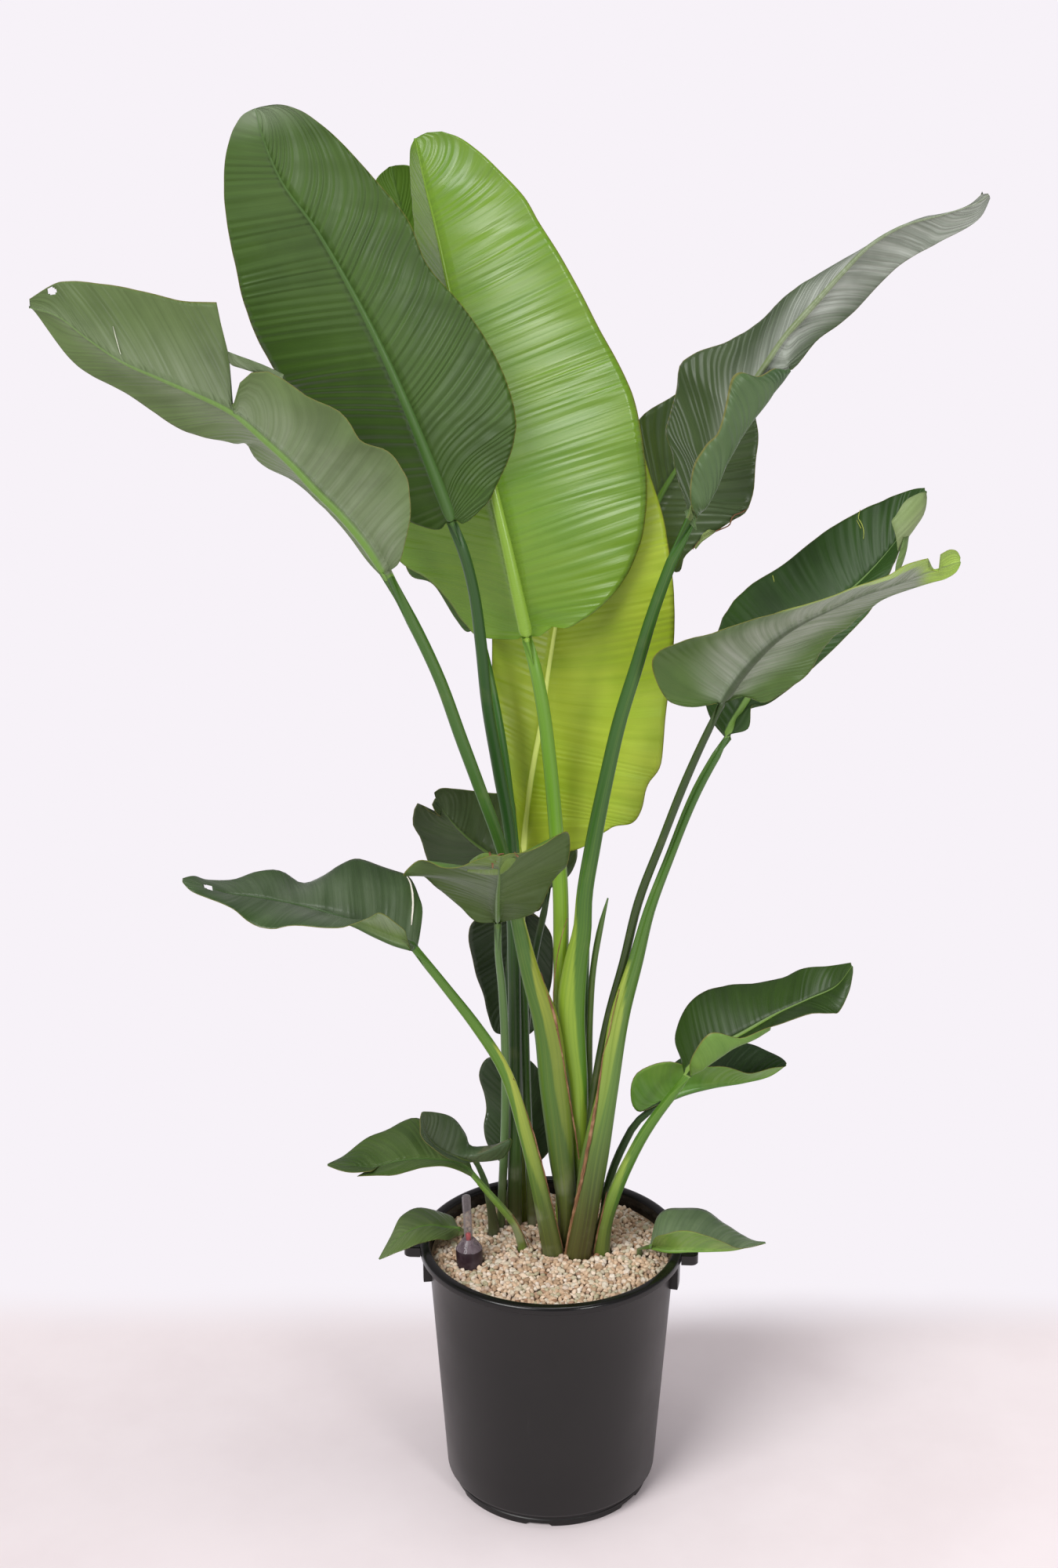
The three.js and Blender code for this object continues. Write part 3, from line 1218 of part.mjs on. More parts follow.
// Stations closer together at both ends, plus every point where a margin is torn.
function bladeStations(leaf) {
  const shares = new Set();
  const count = leaf.size.stations;
  for (let k = 0; k <= count; k += 1) {
    const even = k / count;
    shares.add(even - STATION_EASE * Math.sin(2 * Math.PI * even));
  }
  for (const margin of [leaf.left, leaf.right]) {
    margin.forEach(([share], i) => {
      const before = i > 0 ? share - margin[i - 1][0] : 1;
      const after = i < margin.length - 1 ? margin[i + 1][0] - share : 1;
      if (before < TEAR_GAP || after < TEAR_GAP) {
        shares.add(share);
      }
    });
  }
  return [...shares].sort((p, q) => p - q);
}

function leafSolid(leaf, index) {
  const across = leaf.size.across.length * 2 + 3;
  if (!leaf.rib) {
    return lofted(stemRings(leaf, across, new THREE.Vector3(-1, 0, 0)));
  }
  const curves = {
    rib: chordCurve(leaf.rib.map(vec)),
    left: marginCurve(leaf.left),
    right: marginCurve(leaf.right),
    leftFold: foldOf(leaf.leftFold),
    rightFold: foldOf(leaf.rightFold),
  };
  const stem = stemRings(leaf, across, bladeFrame(curves, 0).side);
  const blade = bladeStations(leaf).map((u) => bladeRing(leaf, curves, u, index));
  return lofted([...stem, ...blade]);
}

function buildPlant() {
  const plant = new THREE.Group();
  plant.name = 'potted_bird_of_paradise';
  plant.add(toMesh('pot', pot(), POT_BLACK, 0.45));
  plant.add(toMesh('substrate', substrate(), SOIL_TAN, 0.95));
  plant.add(toMesh('indicator_casing', indicatorCasing(), SLEEVE_MAROON, 0.3));
  plant.add(toMesh('indicator_sight_tube', indicatorSightTube(), TUBE_CLEAR, 0.1));
  plant.add(toMesh('indicator_float', indicatorFloat(), FLOAT_RED, 0.4));
  LEAVES.forEach((leaf, index) => {
    plant.add(toMesh(leaf.name, leafSolid(leaf, index), leaf.colour, 0.5));
  });
  return plant;
}

export default buildPlant();
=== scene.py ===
"""Dresses the potted bird of paradise: leaves with pleated, veined blades and
sheathed petioles, a satin black grow pot, loose pumice and a tinted water
level indicator, under soft studio light."""

import math

import bmesh
import bpy
import numpy as np
from mathutils import Matrix, Vector


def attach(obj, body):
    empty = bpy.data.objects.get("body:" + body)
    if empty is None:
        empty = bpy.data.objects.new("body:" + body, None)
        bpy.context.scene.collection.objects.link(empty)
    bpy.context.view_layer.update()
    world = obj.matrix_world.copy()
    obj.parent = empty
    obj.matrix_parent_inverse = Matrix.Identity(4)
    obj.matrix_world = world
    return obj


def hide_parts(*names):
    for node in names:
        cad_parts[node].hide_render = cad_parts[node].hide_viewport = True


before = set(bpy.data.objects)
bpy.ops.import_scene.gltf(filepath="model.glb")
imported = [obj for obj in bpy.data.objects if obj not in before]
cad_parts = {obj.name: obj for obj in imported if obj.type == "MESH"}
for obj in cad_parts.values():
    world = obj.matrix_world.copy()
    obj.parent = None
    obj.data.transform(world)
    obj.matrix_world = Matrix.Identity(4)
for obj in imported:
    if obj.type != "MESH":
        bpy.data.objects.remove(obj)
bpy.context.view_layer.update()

MM = 0.001

# Lengths are in millimetres where nothing else is said.

# Pot, in the part's measures, with finer rounding
POT_HEIGHT = 344.0
POT_RIM_RADIUS = 170.0
POT_WALL_TOP_RADIUS = 158.5
POT_WALL_LOW_RADIUS = 137.0
POT_FOOT_RADIUS = 128.0
POT_FOOT_HEIGHT = 18.0
POT_WALL = 3.0
POT_STEP = 22.0
POT_LIP_FOOT = 334.0
POT_SEGMENTS = 216
NOTCH_COUNT = 6
NOTCH_WIDTH = 27.0
NOTCH_HEIGHT = 4.0
NOTCH_INNER_RADIUS = 112.0
NOTCH_TURN = -97.4
LUG_TURN = -3.4
LUG_WIDTH = 60.0
LUG_REACH = 188.5
LUG_ROOT = 167.0
LUG_TOP = 341.0
LUG_THICKNESS = 14.0
LUG_CORNER = 9.0
LUG_CORNER_STEPS = 6
LUG_BEVEL = 0.8
LUG_BORDER = 3.0
LUG_RECESS = 1.2
SKIRT_DROP = 42.0
SKIRT_WIDTH = 64.0
SKIRT_RADIUS = 166.0
SKIRT_STEPS = 12
POLISH_DEPTH = (0.02, 0.008)  # metres below the rim

# Pumice
SOIL_EDGE = 324.0
SOIL_MOUND = 6.0
SOIL_RADIUS = 154.0
SOIL_SEED = 77
BED_DROP = 2.5
BED_RINGS = 24
BED_SEGMENTS = 96
BED_ROUGHNESS = 1.0
GRANULE_COUNT = 2200
GRANULE_SIZES = (2.9, 4.5)
GRANULE_LUMPS = 0.11
GRANULE_SCATTER = 1.6
GRANULE_LIFT = (-0.8, 1.6)
GRANULE_SHAPE = ((0.8, 1.25), (0.75, 1.1), (0.6, 0.9))
GOLDEN_ANGLE = math.pi * (3 - math.sqrt(5))
STEM_CLEARANCE = 2.0
INDICATOR_CLEARANCE = 1.5
GRAIN_TONES = [(0.0, "6e5a44"), (0.1, "b99a7c"), (0.3, "e2c2a2"), (0.5, "f0d6ba"),
               (0.64, "f8e6d2"), (0.76, "bdb592"), (0.88, "f8ebdb"), (1.0, "a87a58")]

# Water level indicator, along its own axis from the height of the soil
INDICATOR_PLACE = (-104.5, -34.0, 330.0)
INDICATOR_LEAN = -2.4
INDICATOR_SEGMENTS = 64
SLEEVE_RADIUS = 17.0
SLEEVE_WALL = 2.0
SLEEVE_TOP = 19.6
SLEEVE_FOOT = -292.0
CONE_TOP = 33.0
NECK_RADIUS = 7.6
LEDGE_RADIUS = 4.4
LEDGE_HEIGHT = 25.0
TUBE_RADIUS = 5.5
TUBE_WALL = 1.2
TUBE_TOP = 94.0
FLOAT_RADIUS = 11.0
FLOAT_BOTTOM = -262.0
FLOAT_TOP = -210.0
ROD_RADIUS = 3.0
TIP_RADIUS = 3.4
TIP_BOTTOM = 31.0
TIP_TOP = 41.0
FIT_GAP = 0.35

# Leaves
LEAF_SEED = 100
UNDER_SEED = 40
BLADE_THICKNESS = 0.8
BLADE_ARCH = 0.08
BLADE_WAVE = 3.0
BLADE_WAVES = 3
PLEAT_SPACING = 13.0
PLEAT_HEIGHT = 1.1
PLEAT_RISE = 0.25
PLEAT_AT_RIB = 0.35
SWELL_SPACING = 52.0
SWELL_HEIGHT = 2.2
RELIEF_UPRIGHT = 0.15
FULL_RELIEF_REACH = 80.0
FRAME_SHARES = (0.02, 0.97)
COLUMN_EASE = 0.92
GROOVE = 0.12
KEEL_LEAST = 0.4
RIB_TIP = 1.4
RIB_FADE = 1.2
RIB_SHARE_LIMIT = 0.4
RIB_COLUMNS = (0.3, 0.6, 0.85, 1.0)
RIB_DULLING = 0.45
TEAR_GAP = 0.012
FOLD_WEIGHT = 3.0
FOLD_FADE = 0.08
TIP_HALF_WIDTH = 1.5
LONG_RIB = 7
LARGE_HALF = 21
SMALL_HALF = 14
STATION_SPACING = 4.2
STATION_LIMITS = (50, 150)
STATION_EASE = 0.1
BRIDGE_ROWS = 7
BRIDGE_EASE = 0.3
BRIDGE_STEP = 0.006  # metres
STEM_SPACING = 16.0
STEM_FOOT = 266.0
FOOT_PLACE = -70.0
FOOT_TAPER = 0.85
CHANNEL = 0.6
CHANNEL_WIDTH = 0.42
CHANNEL_RISE = 1.4
WING_FADE = 12.0
WING_SOFTNESS = 0.18
MARK_SOFTNESS = 0.06
FLAP_THICKNESS = 0.8
FLAP_STEP = 4.0
FLAP_ACROSS = 0.9
STRIP_THICKNESS = 0.7
STRIP_STEP = 5.0
STRIP_RAGGED = (0.8, 1.25)
UPPER, UNDER, PETIOLE, DRY = range(4)

# Looks of the leaves, with lengths in metres. The first two stand in where a
# leaf names no look or reach of its bloom and painted sheen of its own.
PLAIN_LOOK = (0.3, 0.03, 0.03, 0.36, 0.02)
EVEN_REACH = (0.0, 0.4, 1.0, 0.5)
PLEAT_PITCH = 0.0105
PLEAT_DRIFT = 5.0
SEED_SHIFT = (0.731, 3.17)
UPPER_SHINE = 0.03
MARGIN = "77702f"
# Grey of the waxy bloom, laid into the blade's colour; it is partly real bloom and partly a painted
# sheen, the grey glancing reflection of the room.
BLOOM_AND_SHEEN = "adb0a6"
SCRATCH = "efe9dc"
FOOT_BROWN = "53402a"

# Photographed from in front and above
CAMERA_PLACE = (-29.0, -2508.0, 1777.0)
CAMERA_PITCH = 18.06
CAMERA_LENS = 50.4
VIEW_LINE = np.array((0.0, 0.951, -0.309))

# Studio, in metres
FLOOR_HALF = 60.0
FLOOR_SHADE_END = (0.33, 0.49)
FLOOR_FADE = (1.4, 3.2)
WORLD_GLOW = 0.42
WORLD_GLOSS = 0.33
BACKDROP = "f7f2f8"
# Lights: kind, place, direction, power and shape.
LIGHTS = {
    "key_left": ("SUN", (0, 0, 3), (0.5, 0.63, -0.64), 1.9, {"angle": math.radians(30)}),
    "key_right": ("AREA", (1.25, -2.2, 1.4), (-1.25, 2.25, 0), 16,
                  {"shape": "RECTANGLE", "size": 0.55, "size_y": 0.8}),
    "top": ("AREA", (0.2, -0.3, 3.6), (-0.2, 0.3, -2.4), 22,
            {"shape": "RECTANGLE", "size": 1.6, "size_y": 1.0}),
}

# Each leaf, in millimetres from the origin and with the lines of the part.
# tones: dark and light of the upper face, dark and light of the under face,
#   rib, petiole at the soil, half way and at the top, the sheath's pale wing
#   and the blade's pale marks.
# look: depth of the pleats, how far the veins of the left and the right half
#   lean towards the tip in metres, roughness, and waxy bloom of the under face,
#   whose grey is partly a painted sheen.
# bloom_reach: how the bloom and its painted sheen spread outwards towards
#   the tip, from and to where across the blade they fade, and what is left there.
# upper_bloom: bloom and painted sheen of the upper face. rib_width: start
#   of the rib, in petioles.
# stem: x, y, z, width, thickness. rib: x, y, z.
# left, right: share of the rib where the vein leaves it, then x, y, z.
# left_fold, right_fold: where that half folds back over itself.
# marks: side of the rib or 0 for both, from and to which share along it, the
#   share across from which the mark reaches to the margin, strength.
# wing: height, from and to across the petiole (-1 to 1), strength.
# dry, scratches: x, y, z and width along each papery margin or pale slit.
# holes: middle and radius. flaps: 1 if pale, then the two edges it spans.
LEAVES = {}
LEAVES["tall_left"] = {
    "tones": "233c16 365420 344f17 45651d 44682a 3b5622 204113 29511b 7d9a4a a8b49a",
    "look": (0.65, 0.13, 0.01, 0.42, 0.02),
    "stem": [
        (-48, 58, 336, 19, 17), (-47, 52, 583, 17, 15), (-49, 44, 762, 16, 14),
        (-53, 34, 887, 15, 13), (-66, 24, 970, 15, 13), (-79, 8, 1057, 14, 12),
        (-86, -8, 1140, 14, 12), (-94, -22, 1206, 13, 12), (-106, -34, 1256, 13, 12),
    ],
    "rib": [
        (-117, -42, 1287), (-143, -56, 1362), (-165, -68, 1422), (-194, -78, 1492),
        (-223, -86, 1552), (-258, -93, 1615), (-293, -99, 1666), (-309, -104, 1708),
        (-316, -100, 1737),
    ],
    "left": [
        (0, -112, -40, 1288), (0.02, -105, -30, 1282), (0.06, -82, -12, 1297), (0.14, -61, 0, 1331),
        (0.22, -50, 0, 1360), (0.3, -44, -6, 1396), (0.4, -57, -18, 1450), (0.48, -77, -28, 1490),
        (0.58, -107, -40, 1533), (0.68, -140, -54, 1573), (0.78, -162, -66, 1625),
        (0.85, -191, -78, 1661), (0.9, -223, -90, 1698), (0.935, -249, -98, 1722),
        (0.962, -271, -102, 1736), (0.985, -294, -102, 1741), (1, -314, -100, 1738),
    ],
    "right": [
        (0, -123, -40, 1285), (0.02, -132, -30, 1275), (0.05, -162, -14, 1279),
        (0.12, -205, -2, 1316), (0.22, -249, -2, 1370), (0.34, -286, -8, 1426),
        (0.42, -310, -16, 1445), (0.48, -326, -22, 1476), (0.58, -341, -34, 1525),
        (0.68, -349, -46, 1562), (0.78, -356, -60, 1613), (0.86, -356, -72, 1658),
        (0.9, -353, -80, 1681), (0.935, -347, -88, 1702), (0.965, -339, -94, 1719),
        (0.985, -329, -98, 1731), (1, -317, -100, 1737),
    ],
    # Pale band over the tip: a painted highlight where the tip curls back over.
    "marks": [(0, 0.955, 1.1, 0, 0.4)],
}
LEAVES["left_drooping"] = {
    "tones": "243a18 36531f 495d2d 657d43 6a9434 4d5d25 446921 416825 959f34 8f9a84",
    "look": (0.4, 0.05, 0.04, 0.42, 0.24),
    "bloom_reach": (-0.9, 0.5, 1.4, 0.1),
    "stem": [
        (14, 4, 336, 16, 20), (18, 6, 362, 20, 24), (12, 3, 465, 33, 20), (2, 0, 561, 36, 22),
        (-8, -4, 650, 33, 20), (-27, -8, 716, 24, 18), (-42, -12, 784, 18, 16),
        (-60, -18, 876, 15, 13), (-87, -22, 959, 15, 13), (-109, -26, 1024, 15, 13),
        (-134, -32, 1100, 14, 12), (-164, -40, 1170, 14, 12),
    ],
    "rib": [
        (-194, -52, 1230), (-216, -62, 1267), (-242, -70, 1301), (-268, -76, 1329),
        (-290, -80, 1355), (-323, -86, 1388), (-356, -92, 1418), (-393, -98, 1438),
        (-432, -106, 1457), (-468, -114, 1475), (-502, -124, 1501), (-533, -134, 1527),
        (-558, -142, 1536),
    ],
    "left": [
        (0, -186, -58, 1234), (0.03, -177, -72, 1244), (0.08, -167, -92, 1275),
        (0.16, -161, -104, 1315), (0.22, -165, -108, 1350), (0.28, -183, -108, 1378),
        (0.34, -212, -108, 1391), (0.4, -238, -106, 1423), (0.44, -274, -106, 1439),
        (0.462, -293, -106, 1453), (0.478, -313, -106, 1463), (0.488, -331, -106, 1462),
        (0.494, -344, -104, 1451), (0.498, -352, -96, 1429), (0.503, -355, -94, 1426),
        (0.507, -355, -102, 1480), (0.512, -362, -106, 1516), (0.517, -365, -108, 1537),
        (0.54, -376, -110, 1538), (0.6, -401, -114, 1542), (0.68, -433, -120, 1550),
        (0.76, -472, -126, 1557), (0.86, -516, -132, 1562), (0.94, -534, -136, 1559),
        (1, -559, -142, 1544),
    ],
    "right": [
        (0, -200, -48, 1227), (0.03, -213, -36, 1238), (0.08, -235, -30, 1268),
        (0.16, -262, -28, 1300), (0.24, -292, -30, 1329), (0.32, -338, -36, 1354),
        (0.36, -347, -40, 1371), (0.42, -359, -48, 1376), (0.5, -401, -58, 1389),
        (0.6, -440, -72, 1412), (0.7, -475, -88, 1440), (0.8, -512, -104, 1465),
        (0.88, -531, -118, 1489), (0.95, -554, -134, 1530), (1, -559, -142, 1538),
    ],
    "wing": [
        (786, 0.85, 1.3, 1), (760, 0.88, 1.3, 1), (718, 0.27, 1.3, 0.95), (685, 0, 1.3, 0.8),
        (642, -0.14, 1.3, 0.6), (598, 0.04, 1.3, 0.55), (560, 0.08, 1.3, 0.5),
        (510, 0.25, 1.3, 0.4), (459, 0.72, 1.3, 0.2), (408, 1.24, 1.3, 0),
    ],
    "dry": [
        [(-14.5, -8.7, 718, 0.8), (-9.6, -8.6, 701, 1), (-4.8, -10.6, 685, 1.2),
         (0.1, -11.5, 667, 1.5), (6, -10.5, 643, 1.8)],
        [(6, -10.5, 643, 2.4), (13.1, -7.2, 601, 2.2), (19.3, -3.8, 562, 2.2), (25.5, 0.7, 521, 2),
         (30.7, 1.7, 488, 2), (34.9, 2.7, 456, 1.6)],
        [(-4.8, -9.4, 687, 1.6), (-0.9, -10.7, 673, 3), (3.1, -11.1, 658, 3.4),
         (7, -9.6, 643, 1.4)],
    ],
    "scratches": [
        [(-475.4, -117.7, 1514, 0.8), (-473.1, -116.4, 1501.4, 1), (-469.3, -115, 1484, 0.7)],
    ],
    "scratch_tone": "cdd3bb",
    "holes": [(-535, -134, 1553, 4.5)],
    "flaps": [
        (0, [(-356, -104, 1486), (-348, -100, 1482), (-333, -96, 1476), (-317, -92, 1469),
             (-297, -90, 1459)],
         [(-355, -104, 1483), (-354, -100, 1472), (-340, -98, 1466), (-320, -96, 1459),
          (-300, -94, 1449)]),
    ],
}
LEAVES["tall_light"] = {
    "tones": "5f8a22 7ca034 608a24 789a31 86aa3a 7fa324 86a611 6a982a b4c860 b9c8a0",
    "look": (0.24, 0.04, 0.04, 0.25, 0),
    "stem": [
        (13, 34, 336, 14, 14), (12, 32, 528, 16, 15), (11, 28, 703, 19, 17), (9, 24, 829, 19, 17),
        (4, 22, 894, 18, 16), (-3, 20, 972, 17, 15), (-13, 18, 1054, 16, 14),
        (-22, 16, 1101, 15, 13),
    ],
    "rib": [
        (-32, 12, 1138), (-41, 8, 1183), (-55, 6, 1249), (-69, 6, 1310), (-86, 6, 1386),
        (-103, 4, 1467), (-119, 2, 1541), (-133, 2, 1609), (-146, 4, 1663), (-154, 4, 1704),
    ],
    "left": [
        (0, -26, 14, 1138), (0.01, -16, 24, 1136), (0.02, -1, 34, 1145), (0.035, 15, 42, 1141),
        (0.06, 34, 50, 1149), (0.09, 55, 56, 1162), (0.13, 81, 62, 1189), (0.18, 102, 66, 1232),
        (0.24, 110, 68, 1279), (0.3, 110, 68, 1312), (0.38, 104, 66, 1360), (0.46, 93, 62, 1412),
        (0.53, 75, 58, 1452), (0.6, 52, 54, 1492), (0.67, 31, 48, 1532), (0.74, 7, 42, 1574),
        (0.81, -18, 36, 1613), (0.86, -35, 32, 1641), (0.905, -60, 26, 1667), (0.94, -85, 20, 1690),
        (0.965, -107, 14, 1705), (0.983, -125, 8, 1711), (0.994, -141, 5, 1710), (1, -153, 4, 1705),
    ],
    "right": [
        (0, -38, 14, 1137), (0.012, -47, 24, 1132), (0.025, -82, 46, 1128), (0.05, -106, 56, 1143),
        (0.08, -122, 62, 1165), (0.12, -146, 68, 1191), (0.18, -184, 74, 1216),
        (0.28, -204, 80, 1277), (0.4, -209, 80, 1361), (0.52, -202, 74, 1444),
        (0.62, -187, 66, 1508), (0.72, -162, 58, 1559), (0.8, -158, 48, 1597),
        (0.9, -161, 34, 1649), (0.96, -161, 18, 1681), (0.985, -159, 8, 1695), (1, -155, 4, 1703),
    ],
}
LEAVES["new_bright"] = {
    # The under face's light tones are partly the young leaf's own bright yellow-green and partly
    # painted light: a glow for light shining through the thin blade.
    "tones": "8aa61c a8ba34 cdeb2c e5fd42 ecf88a 7f9c2a 7f9c2a 8aa61c c8d458 c8d458",
    "look": (0.3, 0.03, 0.03, 0.42, 0),
    "stem": [
        (-37, 79, 336, 15, 14), (-38, 80, 504, 13, 12), (-40, 84, 668, 12, 11),
        (-39, 86, 764, 11, 10),
    ],
    "rib": [
        (-36, 86, 842), (-32, 86, 899), (-23, 86, 961), (-13, 88, 1017), (-6, 90, 1072),
        (2, 92, 1124), (14, 96, 1207), (27, 102, 1292), (39, 108, 1375), (47, 114, 1439),
        (50, 120, 1477),
    ],
    "left": [
        (0, -41, 86, 842), (0.02, -50, 78, 855), (0.06, -48, 68, 878), (0.1, -45, 62, 907),
        (0.15, -59, 66, 940), (0.22, -67, 70, 989), (0.3, -72, 74, 1038), (0.36, -74, 76, 1073),
        (0.42, -74, 78, 1108), (0.54, -72, 84, 1190), (0.68, -48, 92, 1284), (0.82, -15, 100, 1377),
        (0.93, 22, 112, 1449), (1, 47, 120, 1479),
    ],
    "right": [
        (0, -31, 86, 842), (0.02, -14, 78, 839), (0.04, 27, 66, 851), (0.08, 65, 60, 877),
        (0.11, 78, 60, 884), (0.14, 97, 62, 887), (0.18, 110, 66, 903), (0.22, 116, 68, 932),
        (0.28, 133, 72, 961), (0.34, 138, 76, 1020), (0.42, 147, 82, 1103), (0.5, 147, 86, 1159),
        (0.6, 139, 90, 1225), (0.67, 131, 94, 1269), (0.74, 114, 98, 1321), (0.84, 93, 104, 1385),
        (0.94, 70, 112, 1449), (1, 52, 120, 1479),
    ],
}
LEAVES["hidden_left"] = {
    "tones": "2e5014 4a6c22 30501a 486824 5f8436 48602a 3a6222 386a20 6f7f3a 5f8428",
    "look": (0.3, 0.03, 0.03, 0.38, 0),
    "stem": [
        (-25, 62, 336, 12, 12), (-32, 66, 511, 12, 11), (-40, 58, 754, 12, 11),
        (-51, 52, 902, 12, 10), (-63, 51, 1003, 11, 10), (-79, 64, 1088, 10, 9),
    ],
    "rib": [
        (-90, 82, 1132), (-98, 92, 1188), (-107, 100, 1264), (-122, 106, 1348), (-139, 110, 1440),
        (-156, 112, 1530), (-172, 112, 1602), (-184, 110, 1653), (-187, 108, 1670),
    ],
    "left": [
        (0, -86, 86, 1132), (0.02, -74, 98, 1126), (0.06, -36, 100, 1144), (0.12, -11, 110, 1194),
        (0.22, 0, 118, 1270), (0.34, -4, 122, 1354), (0.48, -22, 124, 1447), (0.62, -52, 122, 1529),
        (0.76, -92, 118, 1601), (0.88, -137, 114, 1652), (0.96, -169, 110, 1671),
        (1, -183, 108, 1671),
    ],
    "right": [
        (0, -94, 86, 1130), (0.02, -104, 96, 1123), (0.05, -118, 106, 1136),
        (0.09, -144, 114, 1176), (0.14, -173, 120, 1187), (0.24, -184, 126, 1258),
        (0.36, -196, 128, 1353), (0.5, -213, 128, 1447), (0.62, -220, 126, 1520),
        (0.74, -220, 122, 1583), (0.86, -217, 118, 1626), (0.94, -204, 114, 1657),
        (1, -189, 108, 1670),
    ],
    "marks": [(0, 0.7, 1.1, 0, 0.85)],
}
LEAVES["right_twisted"] = {
    "tones": "314c28 4b6739 263815 384c20 66783e 50702a 537e1e 365e21 90ab34 5f7c44",
    "look": (0.65, 0.07, 0.08, 0.4, 0.72),
    "bloom_reach": (1.8, -0.75, 0.1, 0.05),
    "bloom_tone": "b6bbb1",
    "upper_bloom": 0.12,
    "stem": [
        (34, 22, 336, 20, 18), (34, 16, 549, 26, 20), (25, 12, 667, 38, 20), (30, 10, 721, 32, 19),
        (38, 8, 774, 24, 18), (39, 8, 803, 22, 18), (50, 6, 883, 21, 17), (65, 4, 967, 19, 16),
        (80, 2, 1039, 18, 15), (98, 0, 1103, 17, 14), (118, -4, 1176, 15, 13),
        (137, -8, 1233, 14, 12),
    ],
    "rib": [
        (159, -14, 1291), (166, -18, 1316), (177, -22, 1351), (190, -24, 1385), (209, -24, 1418),
        (231, -22, 1453), (260, -20, 1495), (291, -18, 1530), (322, -16, 1564), (346, -14, 1588),
        (382, -12, 1610), (433, -12, 1625), (467, -14, 1638), (476, -16, 1645),
    ],
    "left": [
        (0, 164, -18, 1286), (0.03, 154, -46, 1310), (0.07, 154, -62, 1349), (0.12, 167, -70, 1376),
        (0.17, 182, -74, 1395), (0.22, 190, -76, 1430), (0.26, 194, -76, 1452),
        (0.31, 205, -70, 1459), (0.35, 223, -60, 1453), (0.4, 244, -44, 1460),
        (0.45, 265, -30, 1456), (0.51, 293, -16, 1486), (0.58, 318, -8, 1503), (0.66, 341, 0, 1521),
        (0.74, 362, 4, 1544), (0.8, 381, 4, 1564), (0.87, 403, 0, 1580), (0.93, 426, -4, 1593),
        (0.975, 470, -10, 1621), (1, 479, -16, 1644),
    ],
    "right": [
        (0, 154, -12, 1291), (0.02, 151, -2, 1302), (0.05, 143, 14, 1325), (0.09, 137, 30, 1353),
        (0.13, 129, 40, 1376), (0.17, 134, 48, 1396), (0.22, 141, 52, 1418), (0.27, 148, 52, 1454),
        (0.3, 161, 50, 1464), (0.36, 196, 44, 1477), (0.44, 228, 34, 1499), (0.53, 263, 22, 1535),
        (0.63, 303, 12, 1561), (0.72, 345, 4, 1587), (0.8, 378, -2, 1608), (0.88, 409, -6, 1621),
        (0.94, 439, -10, 1627), (0.98, 460, -12, 1637), (1, 470, -14, 1647),
    ],
    "left_fold": [
        (0, 167, -20, 1292), (0.03, 176, -44, 1301), (0.07, 188, -52, 1320), (0.12, 198, -52, 1345),
        (0.17, 213, -50, 1375), (0.22, 228, -48, 1395), (0.26, 243, -46, 1412),
        (0.31, 255, -44, 1429), (0.35, 262, -40, 1440), (0.4, 270, -34, 1453),
    ],
    "marks": [(-1, -0.1, 0.34, 0.35, 0.35)],
    "wing": [
        (799, -1.3, -0.91, 1), (753, -1.3, -0.49, 1), (699, -1.3, 0.03, 0.95),
        (645, -1.3, 0.29, 0.85), (590, -1.3, 0.29, 0.7), (535, -1.3, 0.52, 0.75),
        (490, -1.3, 1.15, 0.8), (446, -1.3, 1.25, 0.5), (387, -1.3, 1.3, 0),
    ],
    "dry": [
        [(18.2, 7.4, 783, 0.8), (12.6, 7.8, 764, 0.9), (6.9, 8.8, 737, 1.1), (3.1, 9.8, 710, 1.1),
         (1.3, 11, 678, 1), (2.4, 12.1, 646, 0.8)],
    ],
    "flaps": [
        (0, [(438, -8, 1623), (453, -8, 1629), (465, -8, 1636), (470, -8, 1648)],
         [(436, -8, 1620), (457, -8, 1623), (468, -8, 1631), (471, -8, 1646)]),
        (1, [(150, -12, 1293), (152, -15, 1286), (157, -17, 1278), (163, -18, 1272)],
         [(161, -17, 1299), (162, -18, 1291), (163, -18, 1283), (164, -18, 1272)]),
    ],
}
